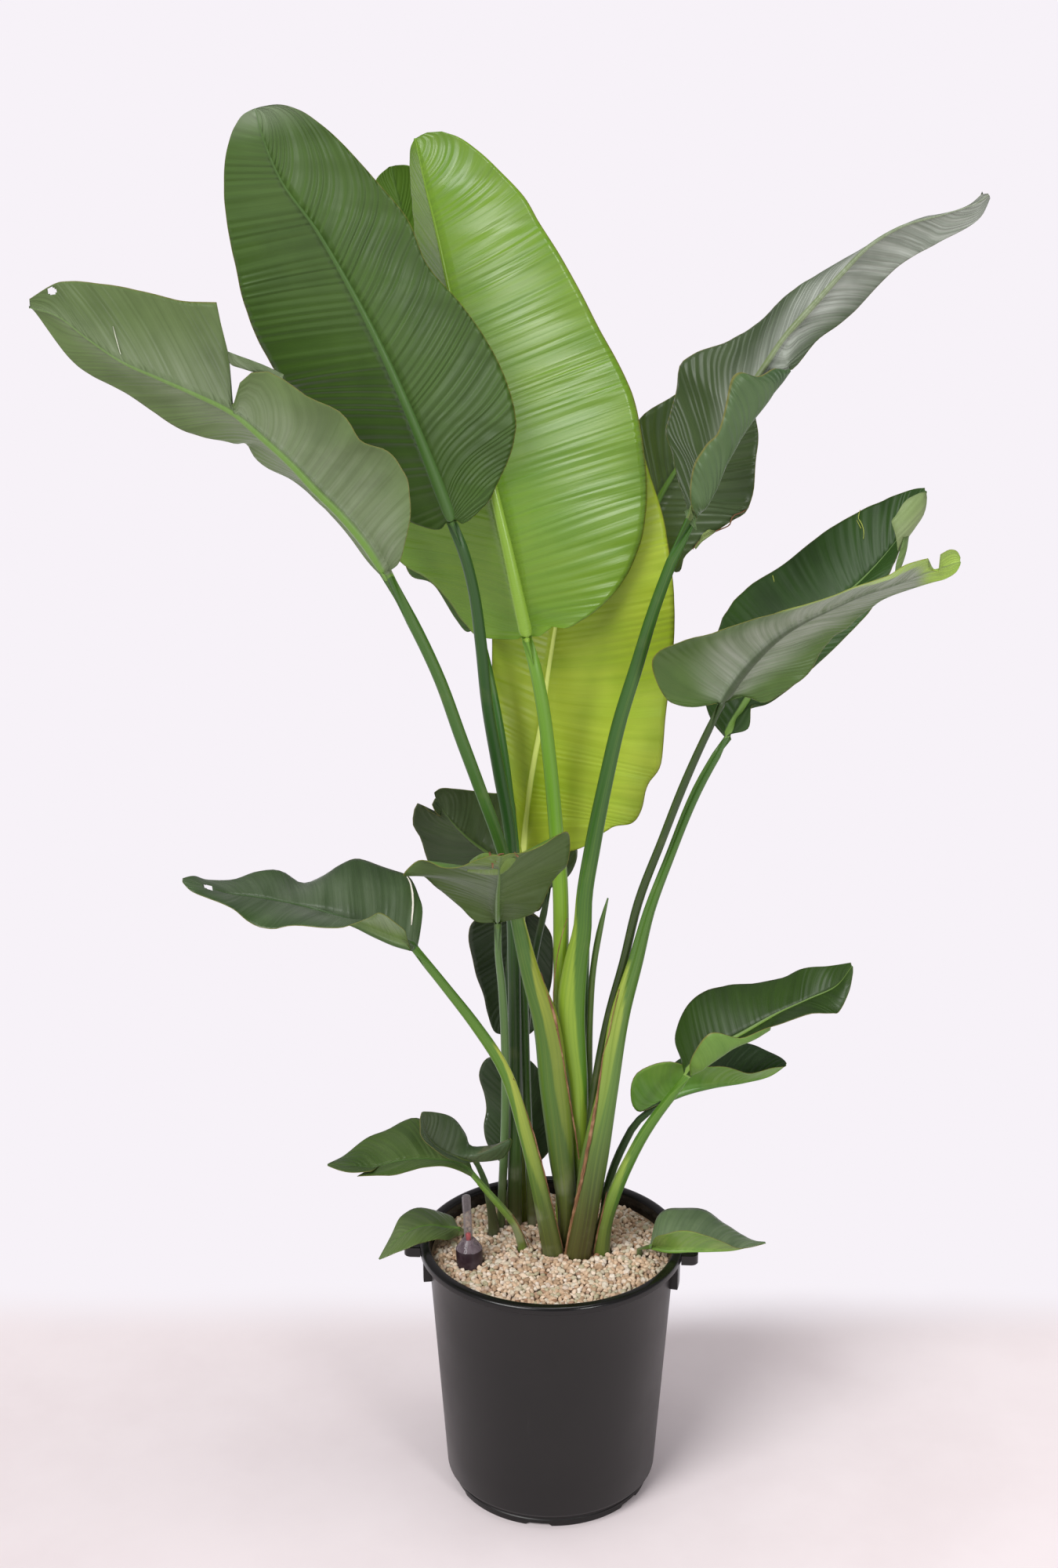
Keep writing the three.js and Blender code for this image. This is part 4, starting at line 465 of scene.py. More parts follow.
LEAVES["dark_right"] = {
    "tones": "22381a 35502a 374a26 4e6236 5f8436 40582a 335c1e 335c20 6f8a48 8a9a5c",
    "look": (0.7, 0.04, 0.04, 0.38, 0.02),
    "stem": [
        (42, 53, 336, 13, 13), (44, 46, 521, 13, 12), (41, 50, 704, 12, 11), (43, 56, 786, 12, 11),
        (52, 76, 873, 11, 10), (66, 100, 968, 11, 10), (79, 124, 1072, 10, 10),
        (94, 132, 1160, 10, 9),
    ],
    "rib": [
        (110, 134, 1228), (130, 130, 1284), (148, 126, 1316), (168, 122, 1350), (193, 120, 1387),
        (216, 122, 1420), (232, 126, 1439),
    ],
    "left": [
        (0, 116, 134, 1226), (0.03, 130, 134, 1199), (0.06, 151, 134, 1189), (0.12, 162, 130, 1210),
        (0.2, 192, 126, 1236), (0.27, 217, 122, 1255), (0.34, 233, 118, 1266),
        (0.41, 240, 116, 1286), (0.54, 243, 114, 1325), (0.68, 245, 114, 1360),
        (0.8, 241, 116, 1384), (0.92, 239, 120, 1415), (1, 235, 126, 1438),
    ],
    "right": [
        (0, 106, 136, 1229), (0.03, 97, 146, 1245), (0.1, 93, 152, 1282), (0.22, 94, 152, 1330),
        (0.36, 104, 148, 1374), (0.5, 141, 142, 1401), (0.64, 168, 136, 1420),
        (0.8, 195, 132, 1437), (0.92, 216, 128, 1445), (1, 231, 126, 1443),
    ],
    "dry": [
        [(234, 117, 1270, 1), (226, 118, 1265, 1.6), (220, 118, 1263, 1.6), (216, 118, 1258, 1.6),
         (215, 119, 1252, 1.4), (204, 121, 1245, 1.6), (190, 122, 1239, 1.2), (179, 124, 1231, 1.2),
         (171, 126, 1219, 0.8)],
    ],
    "flaps": [
        (1, [(198, 120, 1243), (190, 121, 1236), (182, 121, 1230), (174, 122, 1220)],
         [(190, 122, 1245), (183, 123, 1240), (179, 123, 1232), (173, 124, 1222)]),
    ],
}
LEAVES["cupped_front"] = {
    "tones": "4a6a2c 628434 344b10 45611b 5c7c3c 5c7c48 5c7c48 557340 8aa048 6f8a3c",
    "look": (0.25, 0.02, 0.02, 0.42, 0.08),
    "stem": [
        (-66, 58, 336, 11, 11), (-59, 36, 526, 11, 10), (-59, 30, 593, 11, 10),
        (-63, 14, 691, 10, 9), (-67, 2, 740, 9, 9),
    ],
    "rib": [
        (-67, -16, 787), (-67, -50, 817), (-66, -92, 851), (-64, -128, 881), (-63, -158, 904),
        (-62, -180, 924), (-60, -196, 938),
    ],
    "left": [
        (0, -63, -18, 788), (0.04, -53, -24, 793), (0.12, -37, -36, 801), (0.22, -23, -52, 814),
        (0.32, -13, -68, 834), (0.42, -2, -84, 864), (0.52, 11, -98, 885), (0.6, 16, -110, 903),
        (0.68, 18, -122, 929), (0.76, 15, -136, 944), (0.83, 0, -150, 942), (0.89, -16, -164, 939),
        (0.95, -35, -180, 937), (1, -53, -196, 941),
    ],
    "right": [
        (0, -71, -18, 788), (0.04, -89, -26, 791), (0.12, -112, -44, 818), (0.22, -131, -66, 845),
        (0.34, -151, -88, 871), (0.46, -165, -106, 883), (0.56, -175, -120, 891),
        (0.66, -158, -134, 907), (0.74, -144, -146, 910), (0.82, -128, -158, 911),
        (0.9, -105, -172, 918), (0.95, -90, -182, 928), (1, -67, -196, 940),
    ],
    "marks": [(0, 0.86, 1.1, 0, 0.7)],
    "dry": [
        [(-74, -176, 936, 2.5), (-71, -179, 928, 3), (-70, -174, 916, 1.4)],
        [(-67, -183, 927, 1.5), (-63, -183, 935, 2.4), (-57, -183, 936, 1.6)],
        [(-46, -184, 938, 3), (-41, -184, 933, 2)],
    ],
    "flaps": [
        (1, [(-100, -132, 896), (-86, -139, 896), (-73, -146, 897), (-60, -155, 902),
             (-51, -157, 910), (-46, -162, 920)],
         [(-97, -138, 911), (-89, -152, 922), (-78, -166, 931), (-67, -174, 932), (-56, -180, 933),
          (-45, -171, 927)]),
    ],
}
LEAVES["arching_left"] = {
    "tones": "1e3a06 2f5208 526f37 769050 33551c 50682a 568024 467327 a9b446 a8b090",
    "look": (0.15, 0.03, 0.03, 0.3, 0),
    "upper_bloom": 0.2,
    "stem": [
        (1, -14, 336, 27, 20), (-14, -16, 416, 22, 18), (-33, -20, 503, 19, 16),
        (-61, -26, 599, 17, 15), (-95, -34, 660, 15, 13), (-125, -42, 706, 13, 12),
        (-150, -50, 744, 12, 11),
    ],
    "rib": [
        (-168, -58, 771), (-186, -64, 778), (-212, -70, 792), (-237, -74, 807), (-271, -76, 821),
        (-311, -78, 834), (-349, -82, 844), (-385, -88, 852), (-415, -96, 865), (-434, -104, 875),
    ],
    "left": [
        (0, -172, -62, 770), (0.03, -174, -84, 793), (0.07, -176, -100, 811),
        (0.12, -188, -114, 827), (0.18, -203, -124, 840), (0.25, -217, -134, 838),
        (0.33, -238, -140, 833), (0.42, -265, -142, 830), (0.52, -304, -140, 831),
        (0.62, -333, -134, 827), (0.7, -355, -128, 834), (0.79, -373, -122, 845),
        (0.88, -401, -116, 856), (0.95, -424, -110, 864), (1, -435, -104, 873),
    ],
    "right": [
        (0, -163, -54, 772), (0.02, -161, -40, 781), (0.05, -159, -16, 800), (0.09, -164, 2, 815),
        (0.14, -174, 14, 835), (0.19, -191, 20, 841), (0.26, -216, 20, 849), (0.34, -240, 16, 857),
        (0.42, -259, 8, 854), (0.5, -282, -4, 844), (0.57, -305, -14, 839), (0.64, -327, -24, 855),
        (0.72, -354, -36, 861), (0.8, -383, -52, 857), (0.87, -409, -70, 863),
        (0.94, -424, -88, 874), (1, -435, -104, 877),
    ],
    "wing": [
        (613, 0.57, 1.3, 1), (594, 0.37, 1.3, 1), (571, 0.06, 1.3, 0.9), (543, -0.2, 1.3, 0.75),
        (510, -0.51, 1.3, 0.6), (476, -0.48, 1.3, 0.5), (442, -0.03, 1.3, 0.35),
        (408, 0.31, 1.3, 0.1),
    ],
    "dry": [
        [(-48.5, -29.5, 584, 1.2), (-43.4, -24.7, 570, 1.8), (-37.4, -23.5, 550, 2),
         (-30.4, -22.1, 527, 2), (-23.7, -20.7, 505, 2), (-18.2, -19.6, 482, 2.2),
         (-14, -18.8, 465, 2.4)],
        [(-14, -18.8, 465, 2.4), (-9, -17.8, 443, 2.2), (-2.6, -16.5, 414, 2), (3.7, -15.8, 386, 2),
         (10.6, -15, 354, 2), (16, -14.6, 326, 1.6)],
    ],
    "scratches": [
        [(-178.9, 14.3, 836, 1.2), (-174.8, 8.2, 831, 1.8), (-171.5, -3.1, 821, 2.4),
         (-170.1, -15, 812, 2.2), (-170.4, -30.8, 801.5, 2), (-170.9, -42.4, 794, 0.9)],
    ],
    "holes": [(-405, -92, 862, 6)],
}
LEAVES["low_right"] = {
    "tones": "1f340a 314c13 4f7428 719440 5a8034 4a7428 537e26 4d7b29 a4b84a a8b090",
    "look": (0.2, 0.03, 0.03, 0.45, 0),
    "upper_rib": "86a850",
    "stem": [
        (64, -9, 336, 23, 18), (66, -9, 359, 21, 17), (79, -11, 413, 19, 16),
        (98, -14, 463, 16, 14), (115, -17, 501, 15, 13), (133, -21, 533, 13, 12),
        (150, -25, 560, 12, 11),
    ],
    "rib": [
        (168, -30, 590), (189, -34, 614), (213, -36, 632), (236, -38, 648), (272, -42, 674),
        (313, -46, 698), (346, -52, 720), (361, -58, 747),
    ],
    "left": [
        (0, 164, -28, 589), (0.03, 161, -14, 601), (0.08, 154, 2, 618), (0.14, 157, 12, 637),
        (0.22, 170, 20, 660), (0.32, 190, 22, 679), (0.44, 219, 20, 688), (0.56, 252, 12, 693),
        (0.66, 284, 0, 708), (0.76, 305, -14, 725), (0.88, 336, -34, 737), (1, 361, -56, 751),
    ],
    "right": [
        (0, 171, -34, 590), (0.04, 168, -56, 616), (0.1, 176, -72, 648), (0.17, 186, -80, 666),
        (0.24, 197, -82, 669), (0.32, 213, -80, 664), (0.4, 228, -76, 661), (0.5, 256, -74, 672),
        (0.6, 277, -78, 680), (0.7, 309, -84, 696), (0.78, 334, -84, 697), (0.86, 345, -78, 696),
        (0.92, 353, -70, 707), (0.97, 360, -62, 724), (1, 363, -58, 743),
    ],
    "right_fold": [
        (0, 174, -36, 591), (0.04, 187, -62, 608), (0.1, 201, -74, 624), (0.17, 216, -78, 636),
        (0.24, 229, -78, 645), (0.32, 240, -76, 650), (0.4, 251, -74, 657), (0.5, 265, -70, 666),
    ],
    "wing": [
        (483, -1.3, -1.1, 0.9), (463, -1.3, -0.36, 0.8), (440, -1.3, 0.03, 0.6),
        (411, -1.3, 0.35, 0.3),
    ],
    "dry": [
        [(69.8, -11.8, 417, 1), (65, -15.8, 391, 1.8), (60.2, -16, 369, 2.2),
         (53.6, -13.5, 326, 2.2)],
    ],
}
LEAVES["low_right_back"] = {
    "tones": "1e3412 2c4a1a 497824 6e9535 4f7a30 2f4a20 24401a 2c4c20 7fa040 8aa048",
    "stem": [
        (66, 16, 336, 12, 12), (73, 22, 410, 11, 11), (92, 26, 464, 11, 10), (108, 28, 494, 10, 9),
        (124, 28, 510, 9, 9),
    ],
    "rib": [
        (142, 26, 525), (167, 22, 538), (206, 18, 550), (244, 16, 557), (278, 14, 568),
        (295, 12, 583),
    ],
    "left": [
        (0, 140, 30, 526), (0.05, 145, 46, 537), (0.12, 153, 62, 555), (0.25, 178, 74, 568),
        (0.42, 213, 74, 581), (0.6, 250, 64, 588), (0.8, 280, 42, 586), (0.92, 293, 24, 585),
        (1, 296, 12, 585),
    ],
    "right": [
        (0, 138, 22, 524), (0.03, 113, 14, 517), (0.06, 103, 10, 526), (0.1, 99, 4, 550),
        (0.15, 104, -2, 574), (0.21, 124, -8, 590), (0.28, 147, -10, 596), (0.36, 170, -12, 593),
        (0.48, 203, -12, 591), (0.6, 230, -10, 585), (0.72, 249, -6, 580), (0.86, 277, 2, 583),
        (1, 295, 12, 581),
    ],
}
LEAVES["small_left"] = {
    "tones": "324c17 506a25 3a5424 4f6b2e 4f7034 6a8f32 55842a 4c762a b0b84e a8b090",
    "look": (0.3, 0.05, 0.05, 0.32, 0),
    "upper_bloom": 0.06,
    "stem": [
        (-38, -4, 336, 12, 12), (-46, -8, 366, 11, 11), (-62, -14, 393, 10, 10),
        (-78, -20, 417, 9, 9), (-91, -26, 437, 8, 8),
    ],
    "rib": [
        (-103, -32, 455), (-122, -38, 470), (-142, -44, 477), (-175, -54, 484), (-199, -62, 484),
        (-220, -68, 481), (-252, -76, 488), (-277, -84, 493),
    ],
    "left": [
        (0, -103, -36, 452), (0.06, -114, -46, 464), (0.16, -135, -58, 478), (0.28, -160, -72, 483),
        (0.4, -181, -82, 482), (0.5, -196, -88, 482), (0.6, -217, -92, 483),
        (0.655, -240, -94, 482), (0.66, -213, -68, 483), (0.665, -223, -92, 488),
        (0.76, -241, -94, 488), (0.88, -261, -92, 490), (1, -277, -84, 492),
    ],
    "right": [
        (0, -101, -28, 458), (0.04, -106, -10, 463), (0.12, -116, 8, 471), (0.24, -134, 20, 484),
        (0.36, -154, 24, 496), (0.46, -171, 20, 502), (0.56, -192, 10, 503), (0.66, -212, -6, 502),
        (0.76, -233, -24, 499), (0.86, -256, -48, 490), (1, -278, -84, 494),
    ],
    "wing": [
        (386, 0.95, 1.3, 0.9), (364, 0.26, 1.3, 0.9), (346, 0.61, 1.3, 0.8), (336, 1.3, 1.3, 0.5),
    ],
    "dry": [
        [(-50, -12.8, 385, 0.8), (-41, -11.6, 366, 1.2), (-33, -5.9, 346, 1.2),
         (-26, -4.6, 326, 1)],
    ],
}
LEAVES["small_folded"] = {
    "tones": "263d17 3c5726 475333 6a6f4b 5f7438 3f5c34 3f5c34 4a6a34 8a9a50 8a9a5c",
    "upper_bloom": 0.1,
    "stem": [
        (-75, 40, 336, 15, 14), (-77, 32, 360, 12, 11), (-80, 18, 387, 10, 9), (-86, 0, 427, 8, 8),
        (-93, -14, 454, 7, 7),
    ],
    "rib": [
        (-97, -24, 469), (-112, -40, 479), (-131, -56, 494), (-147, -68, 513), (-156, -76, 532),
        (-159, -82, 552), (-159, -86, 566),
    ],
    "left": [
        (0, -100, -28, 468), (0.1, -110, -46, 476), (0.25, -129, -66, 493), (0.42, -148, -82, 515),
        (0.6, -161, -92, 538), (0.8, -162, -94, 557), (1, -160, -88, 567),
    ],
    "right": [
        (0, -93, -24, 469), (0.03, -78, -22, 468), (0.07, -63, -22, 470), (0.11, -54, -22, 483),
        (0.15, -51, -24, 499), (0.2, -67, -22, 490), (0.28, -87, -20, 486), (0.36, -103, -22, 488),
        (0.46, -109, -30, 507), (0.58, -116, -40, 529), (0.72, -129, -54, 546),
        (0.86, -144, -70, 558), (1, -157, -86, 567),
    ],
}
LEAVES["rim_left"] = {
    "tones": "405826 647a3c 45662c 5c803e 5f8436 5a7a2c 5a7a2c 5a7a2c 8aa048 8aa048",
    "upper_bloom": 0.08,
    "stem": [(-112, 28, 336, 7, 7)],
    "rib": [
        (-120, 21, 347), (-136, 14, 350), (-153, 4, 359), (-172, -8, 363), (-188, -20, 361),
        (-204, -34, 353), (-219, -48, 341),
    ],
    "left": [
        (0, -122, 18, 336), (0.08, -131, 0, 341), (0.2, -146, -16, 351), (0.36, -164, -28, 353),
        (0.52, -178, -38, 353), (0.7, -195, -44, 349), (0.86, -209, -47, 344), (1, -219, -48, 340),
    ],
    "right": [
        (0, -118, 24, 341), (0.06, -123, 34, 344), (0.14, -128, 40, 351), (0.24, -141, 42, 357),
        (0.36, -162, 36, 365), (0.48, -181, 26, 371), (0.6, -193, 12, 370), (0.76, -202, -8, 361),
        (0.9, -212, -32, 350), (1, -220, -48, 341),
    ],
}
LEAVES["rim_right"] = {
    "tones": "38542a 658345 5d8432 89a649 6f9c3c 4f7a2c 4f7a2c 4f7a2c 8aa048 8aa048",
    "upper_bloom": 0.2,
    "stem": [(113, -14, 336, 7, 7)],
    "rib": [
        (126, -30, 348), (146, -44, 350), (175, -52, 355), (204, -52, 355), (229, -50, 355),
        (252, -46, 358), (271, -42, 361),
    ],
    "left": [
        (0, 126, -20, 346), (0.04, 130, 0, 352), (0.12, 136, 20, 360), (0.22, 150, 32, 367),
        (0.34, 172, 36, 371), (0.48, 198, 32, 365), (0.64, 224, 14, 358), (0.8, 246, -8, 352),
        (0.92, 260, -30, 357), (1, 272, -42, 362),
    ],
    "right": [
        (0, 127, -34, 348), (0.05, 126, -54, 367), (0.12, 131, -68, 385), (0.24, 150, -76, 395),
        (0.36, 171, -78, 396), (0.5, 195, -76, 390), (0.64, 216, -70, 376), (0.78, 234, -62, 365),
        (0.9, 253, -52, 361), (1, 271, -42, 360),
    ],
}
LEAVES["dark_left"] = {
    "tones": "253718 364724 2e3e20 42522e 55702f 2f4a20 2a4a1c 2a4a1c 6a7a40 6a7a40",
    "stem": [
        (-32, 94, 336, 10, 10), (-36, 96, 496, 10, 10), (-33, 100, 595, 10, 9),
        (-19, 108, 707, 9, 9), (-10, 112, 749, 9, 8),
    ],
    "rib": [
        (-4, 118, 777), (-24, 122, 791), (-52, 126, 807), (-82, 128, 825), (-109, 130, 846),
        (-129, 130, 868), (-141, 128, 886), (-147, 124, 900),
    ],
    "left": [
        (0, -1, 118, 781), (0.04, 18, 124, 791), (0.1, 31, 130, 811), (0.2, 29, 138, 845),
        (0.32, 6, 146, 874), (0.46, -24, 150, 891), (0.6, -54, 150, 898), (0.72, -76, 146, 900),
        (0.82, -100, 138, 905), (0.9, -123, 128, 911), (0.96, -141, 120, 914), (1, -150, 116, 909),
    ],
    "right": [
        (0, -7, 118, 774), (0.04, -14, 120, 751), (0.1, -34, 124, 749), (0.22, -64, 128, 761),
        (0.36, -104, 130, 781), (0.48, -139, 130, 795), (0.58, -157, 128, 811),
        (0.68, -167, 124, 846), (0.76, -177, 118, 871), (0.83, -167, 112, 897),
        (0.86, -155, 116, 885), (0.9, -141, 120, 877), (0.95, -147, 116, 884), (1, -152, 116, 896),
    ],
}
LEAVES["hanging_back"] = {
    "tones": "1c2c16 2a3a20 1f2f18 2f3f22 3a4f28 2f4a20 2a4a1c 2a4a1c 6a7a40 6a7a40",
    "stem": [
        (-50, 128, 336, 10, 10), (-53, 142, 491, 10, 9), (-55, 142, 599, 9, 9),
        (-55, 138, 673, 8, 8), (-50, 134, 724, 8, 7),
    ],
    "rib": [
        (-44, 132, 746), (-40, 146, 743), (-37, 158, 718), (-38, 160, 682), (-42, 158, 642),
        (-51, 154, 599), (-59, 148, 563),
    ],
    "left": [
        (0, -49, 134, 745), (0.05, -75, 142, 742), (0.14, -98, 152, 725), (0.28, -108, 156, 699),
        (0.42, -103, 156, 665), (0.56, -98, 154, 643), (0.7, -89, 152, 617), (0.82, -84, 150, 593),
        (0.92, -75, 148, 567), (1, -63, 148, 562),
    ],
    "right": [
        (0, -39, 134, 743), (0.05, -20, 142, 733), (0.14, -5, 150, 713), (0.28, 2, 154, 689),
        (0.42, 3, 154, 654), (0.56, -2, 152, 623), (0.7, -11, 150, 593), (0.82, -22, 148, 569),
        (0.92, -36, 148, 560), (1, -55, 148, 561),
    ],
}
LEAVES["low_back"] = {
    "tones": "25371c 384a2a 283a1e 3b4d2a 3a4f28 2f4a20 2a4a1c 2a4a1c 6a7a40 6a7a40",
    "stem": [(-57, 89, 336, 9, 9), (-53, 96, 370, 8, 8)],
    "rib": [
        (-50, 102, 385), (-45, 112, 420), (-40, 120, 456), (-40, 126, 493), (-45, 128, 520),
        (-53, 128, 537),
    ],
    "left": [
        (0, -54, 102, 388), (0.06, -72, 104, 403), (0.16, -85, 110, 423), (0.28, -89, 116, 443),
        (0.42, -86, 122, 465), (0.56, -89, 126, 488), (0.7, -95, 128, 515), (0.84, -85, 128, 537),
        (1, -57, 128, 541),
    ],
    "right": [
        (0, -46, 102, 387), (0.06, -28, 108, 387), (0.16, -5, 116, 404), (0.3, 3, 124, 436),
        (0.48, -1, 130, 473), (0.66, -9, 132, 506), (0.84, -28, 130, 534), (1, -49, 128, 540),
    ],
}
LEAVES["right_front"] = {
    "tones": "2c4a1c 45682a 385415 4c6a20 283a13 34461e 2c3d18 33471f 8fa544 a4c649",
    "look": (0.5, 0.08, 0.06, 0.38, 0.55),
    "bloom_reach": (0.8, 0, 0.6, 0.05),
    "rib_width": 1.7,
    "stem": [
        (43, 5, 336, 12, 12), (54, 7, 553, 11, 11), (72, 9, 658, 11, 11), (88, 11, 722, 11, 11),
        (105, 10, 802, 11, 10), (132, -4, 889, 10, 10), (157, -8, 962, 10, 9),
        (184, -14, 1031, 9, 9),
    ],
    "rib": [
        (199, -18, 1065), (215, -22, 1093), (236, -28, 1122), (264, -36, 1152), (289, -42, 1170),
        (318, -48, 1186), (352, -56, 1204), (390, -64, 1219), (427, -74, 1237), (457, -80, 1249),
    ],
    "left": [
        (0, 203, -18, 1066), (0.02, 222, -16, 1072), (0.06, 247, -12, 1064), (0.11, 268, -10, 1074),
        (0.18, 286, -10, 1088), (0.26, 302, -10, 1102), (0.34, 313, -10, 1122),
        (0.42, 327, -12, 1143), (0.5, 341, -16, 1156), (0.58, 352, -22, 1169),
        (0.66, 367, -28, 1181), (0.74, 381, -36, 1195), (0.84, 411, -48, 1211),
        (0.9, 430, -62, 1221), (0.94, 444, -70, 1227), (0.975, 454, -78, 1237), (1, 458, -80, 1247),
    ],
    "right": [
        (0, 194, -20, 1066), (0.02, 168, -26, 1063), (0.05, 141, -34, 1069), (0.09, 126, -42, 1085),
        (0.14, 114, -52, 1118), (0.19, 120, -60, 1137), (0.25, 143, -68, 1153),
        (0.33, 184, -76, 1169), (0.42, 225, -82, 1180), (0.5, 259, -88, 1191),
        (0.58, 301, -92, 1208), (0.66, 329, -96, 1221), (0.76, 370, -100, 1234),
        (0.86, 398, -98, 1251), (0.905, 418, -94, 1255), (0.912, 424, -80, 1239),
        (0.928, 433, -80, 1237), (0.935, 432, -90, 1259), (0.96, 443, -88, 1264),
        (0.98, 452, -84, 1261), (1, 458, -80, 1251),
    ],
    "marks": [(1, 0.5, 1.1, 0.8, 0.8), (1, 0.7, 1.1, 0.55, 0.9), (0, 0.87, 1.1, 0, 0.9)],
}
LEAVES["right_dark"] = {
    "tones": "1e3909 2f5114 4a6430 708a48 4f7034 3f481c 5a7d33 406a23 98ab43 829262",
    "look": (0.35, 0.02, 0.02, 0.5, 0),
    "upper_rib": "7da34a",
    "rib_width": 1.2,
    "stem": [
        (35, -19, 336, 32, 20), (41, -18, 373, 31, 20), (54, -16, 469, 35, 20),
        (70, -12, 562, 26, 18), (85, -6, 664, 24, 17), (102, -2, 728, 19, 15),
        (119, 2, 797, 14, 12), (140, 8, 856, 12, 11), (180, 16, 958, 12, 11),
        (197, 20, 989, 11, 10),
    ],
    "rib": [
        (210, 24, 1011), (225, 30, 1037), (245, 38, 1070), (273, 46, 1107), (305, 54, 1138),
        (335, 62, 1163), (364, 68, 1187), (397, 74, 1222), (423, 80, 1258), (443, 84, 1299),
    ],
    "left": [
        (0, 207, 28, 1010), (0.02, 196, 44, 1020), (0.06, 186, 66, 1043), (0.12, 185, 88, 1082),
        (0.19, 192, 100, 1106), (0.26, 202, 108, 1124), (0.33, 211, 112, 1143),
        (0.42, 236, 118, 1170), (0.52, 276, 122, 1197), (0.61, 313, 122, 1229),
        (0.7, 358, 120, 1258), (0.8, 400, 112, 1282), (0.9, 428, 100, 1297), (1, 443, 86, 1302),
    ],
    "right": [
        (0, 214, 22, 1015), (0.02, 233, 18, 1022), (0.05, 237, 18, 1050), (0.09, 252, 18, 1052),
        (0.16, 276, 20, 1067), (0.26, 312, 24, 1099), (0.38, 349, 30, 1134), (0.5, 378, 36, 1167),
        (0.6, 397, 44, 1206), (0.68, 406, 48, 1221), (0.76, 414, 52, 1241), (0.84, 427, 56, 1261),
        (0.92, 438, 66, 1280), (1, 445, 84, 1299),
    ],
    "wing": [
        (716, -1.3, -0.58, 1), (693, -1.3, -0.31, 1), (664, -1.3, 0.22, 0.95),
        (633, -1.3, 0.22, 0.8), (602, -1.3, 0.06, 0.6), (565, -1.3, -0.03, 0.5),
        (517, -1.3, -0.17, 0.3), (475, -1.14, -0.22, 0.1),
    ],
    "dry": [
        [(82.4, -7.6, 695, 0.8), (75.8, -12.1, 667, 1), (69.4, -12.9, 634, 1.4),
         (63.9, -10, 607, 1.8)],
        [(63.9, -10, 607, 2), (58.2, -15.5, 567, 2.6), (54.5, -19.1, 542, 3.6),
         (49.7, -22.1, 511, 4.2), (44, -24.1, 479, 4.2), (38.4, -24.4, 446, 4.4),
         (31.7, -22.9, 412, 4.6), (24.1, -18.7, 370, 4.2), (17.2, -19.6, 329, 3.4)],
    ],
    "scratches": [
        [(371, 114, 1270, 0.6), (369, 113, 1261, 0.9), (372, 104, 1255, 0.9), (374, 97, 1247, 0.7),
         (373, 92, 1239, 0.5)],
        [(367, 110, 1258, 0.6), (371, 101.5, 1250, 0.6)],
        [(268.2, 114.9, 1189, 0.9), (269.4, 106.5, 1183, 0.6)],
    ],
    "scratch_tone": "b9c45c",
    "holes": [(403, 48, 1240, 7.5)],
    "flaps": [
        (0, [(420, 49, 1251), (417, 44, 1233), (412, 41, 1217), (407, 39, 1205)],
         [(413, 42, 1251), (409, 40, 1236), (405, 38, 1221), (404, 38, 1208)]),
        (1, [(416, 66, 1286), (430, 78, 1293), (443, 83, 1298), (443, 72, 1287), (439, 63, 1275),
             (428, 55, 1260), (417, 51, 1245), (410, 48, 1233)],
         [(414, 62, 1285), (409, 56, 1282), (403, 50, 1275), (398, 46, 1270), (400, 44, 1263),
          (403, 42, 1254), (405, 42, 1245), (407, 44, 1235)]),
    ],
}
LEAVES["spear"] = {
    "tones": "3f6428 56803c 3f6428 56803c 56803c 55702f 55702f 4a6a30 8aa048 8aa048",
    "stem": [
        (55, 33, 336, 13, 13), (48, 30, 529, 9, 9), (48, 26, 650, 8, 8), (51, 22, 709, 8, 8),
        (60, 18, 770, 7, 6), (68, 14, 807, 2, 2),
    ],
}


# Curves

def unit(v):
    return v / max(float(np.linalg.norm(v)), 1e-9)


def mix(a, b, share):
    return a + (b - a) * share


def clamp(value, low=0.0, high=1.0):
    return min(max(value, low), high)


def eased(t):
    return t * t * (3 - 2 * t)


def polar(radius, angle):
    return radius * math.cos(angle), radius * math.sin(angle)


def smooth_curve(shares, points):
    """A smooth curve through points at growing shares, cut where two shares
    are closer than TEAR_GAP so that a tear keeps its sharp lips."""
    points = [np.array(p, float) for p in points]
    last = len(points) - 1

    def slope(i):
        return (points[i + 1] - points[i]) / (shares[i + 1] - shares[i])

    tangents = []
    for i in range(last + 1):
        before = shares[i] - shares[i - 1] if i > 0 else 0.0
        after = shares[i + 1] - shares[i] if i < last else 0.0
        if before < TEAR_GAP and after < TEAR_GAP:
            tangents.append(np.zeros(3))
        elif before < TEAR_GAP:
            tangents.append(slope(i))
        elif after < TEAR_GAP:
            tangents.append(slope(i - 1))
        else:
            tangents.append((slope(i - 1) * after + slope(i) * before) / (before + after))

    def at(share):
        i = 0
        while i < last - 1 and share > shares[i + 1]:
            i += 1
        span = shares[i + 1] - shares[i]
        t = clamp((share - shares[i]) / span)
        if span < TEAR_GAP:
            return mix(points[i], points[i + 1], t)
        t2, t3 = t * t, t * t * t
        return (points[i] * (2 * t3 - 3 * t2 + 1) + tangents[i] * ((t3 - 2 * t2 + t) * span)
                + points[i + 1] * (3 * t2 - 2 * t3) + tangents[i + 1] * ((t3 - t2) * span))

    return at


def chord_shares(points):
    """How far along each point lies, as a share, and the whole length."""
    steps = [0.0] + [float(np.linalg.norm(np.subtract(q, p))) for p, q in zip(points, points[1:])]
    lengths = np.cumsum(steps)
    return list(lengths / lengths[-1]), float(lengths[-1])


def margin_curve(rows):
    """A margin or a fold, from rows that begin with their share of the rib."""
    return smooth_curve([row[0] for row in rows], [row[1:] for row in rows])


def tangent_of(curve, share, step=0.01):
    return unit(curve(min(share + step, 1.0)) - curve(max(share - step, 0.0)))


def square_to(direction, axis):
    return unit(direction - axis * np.dot(direction, axis))


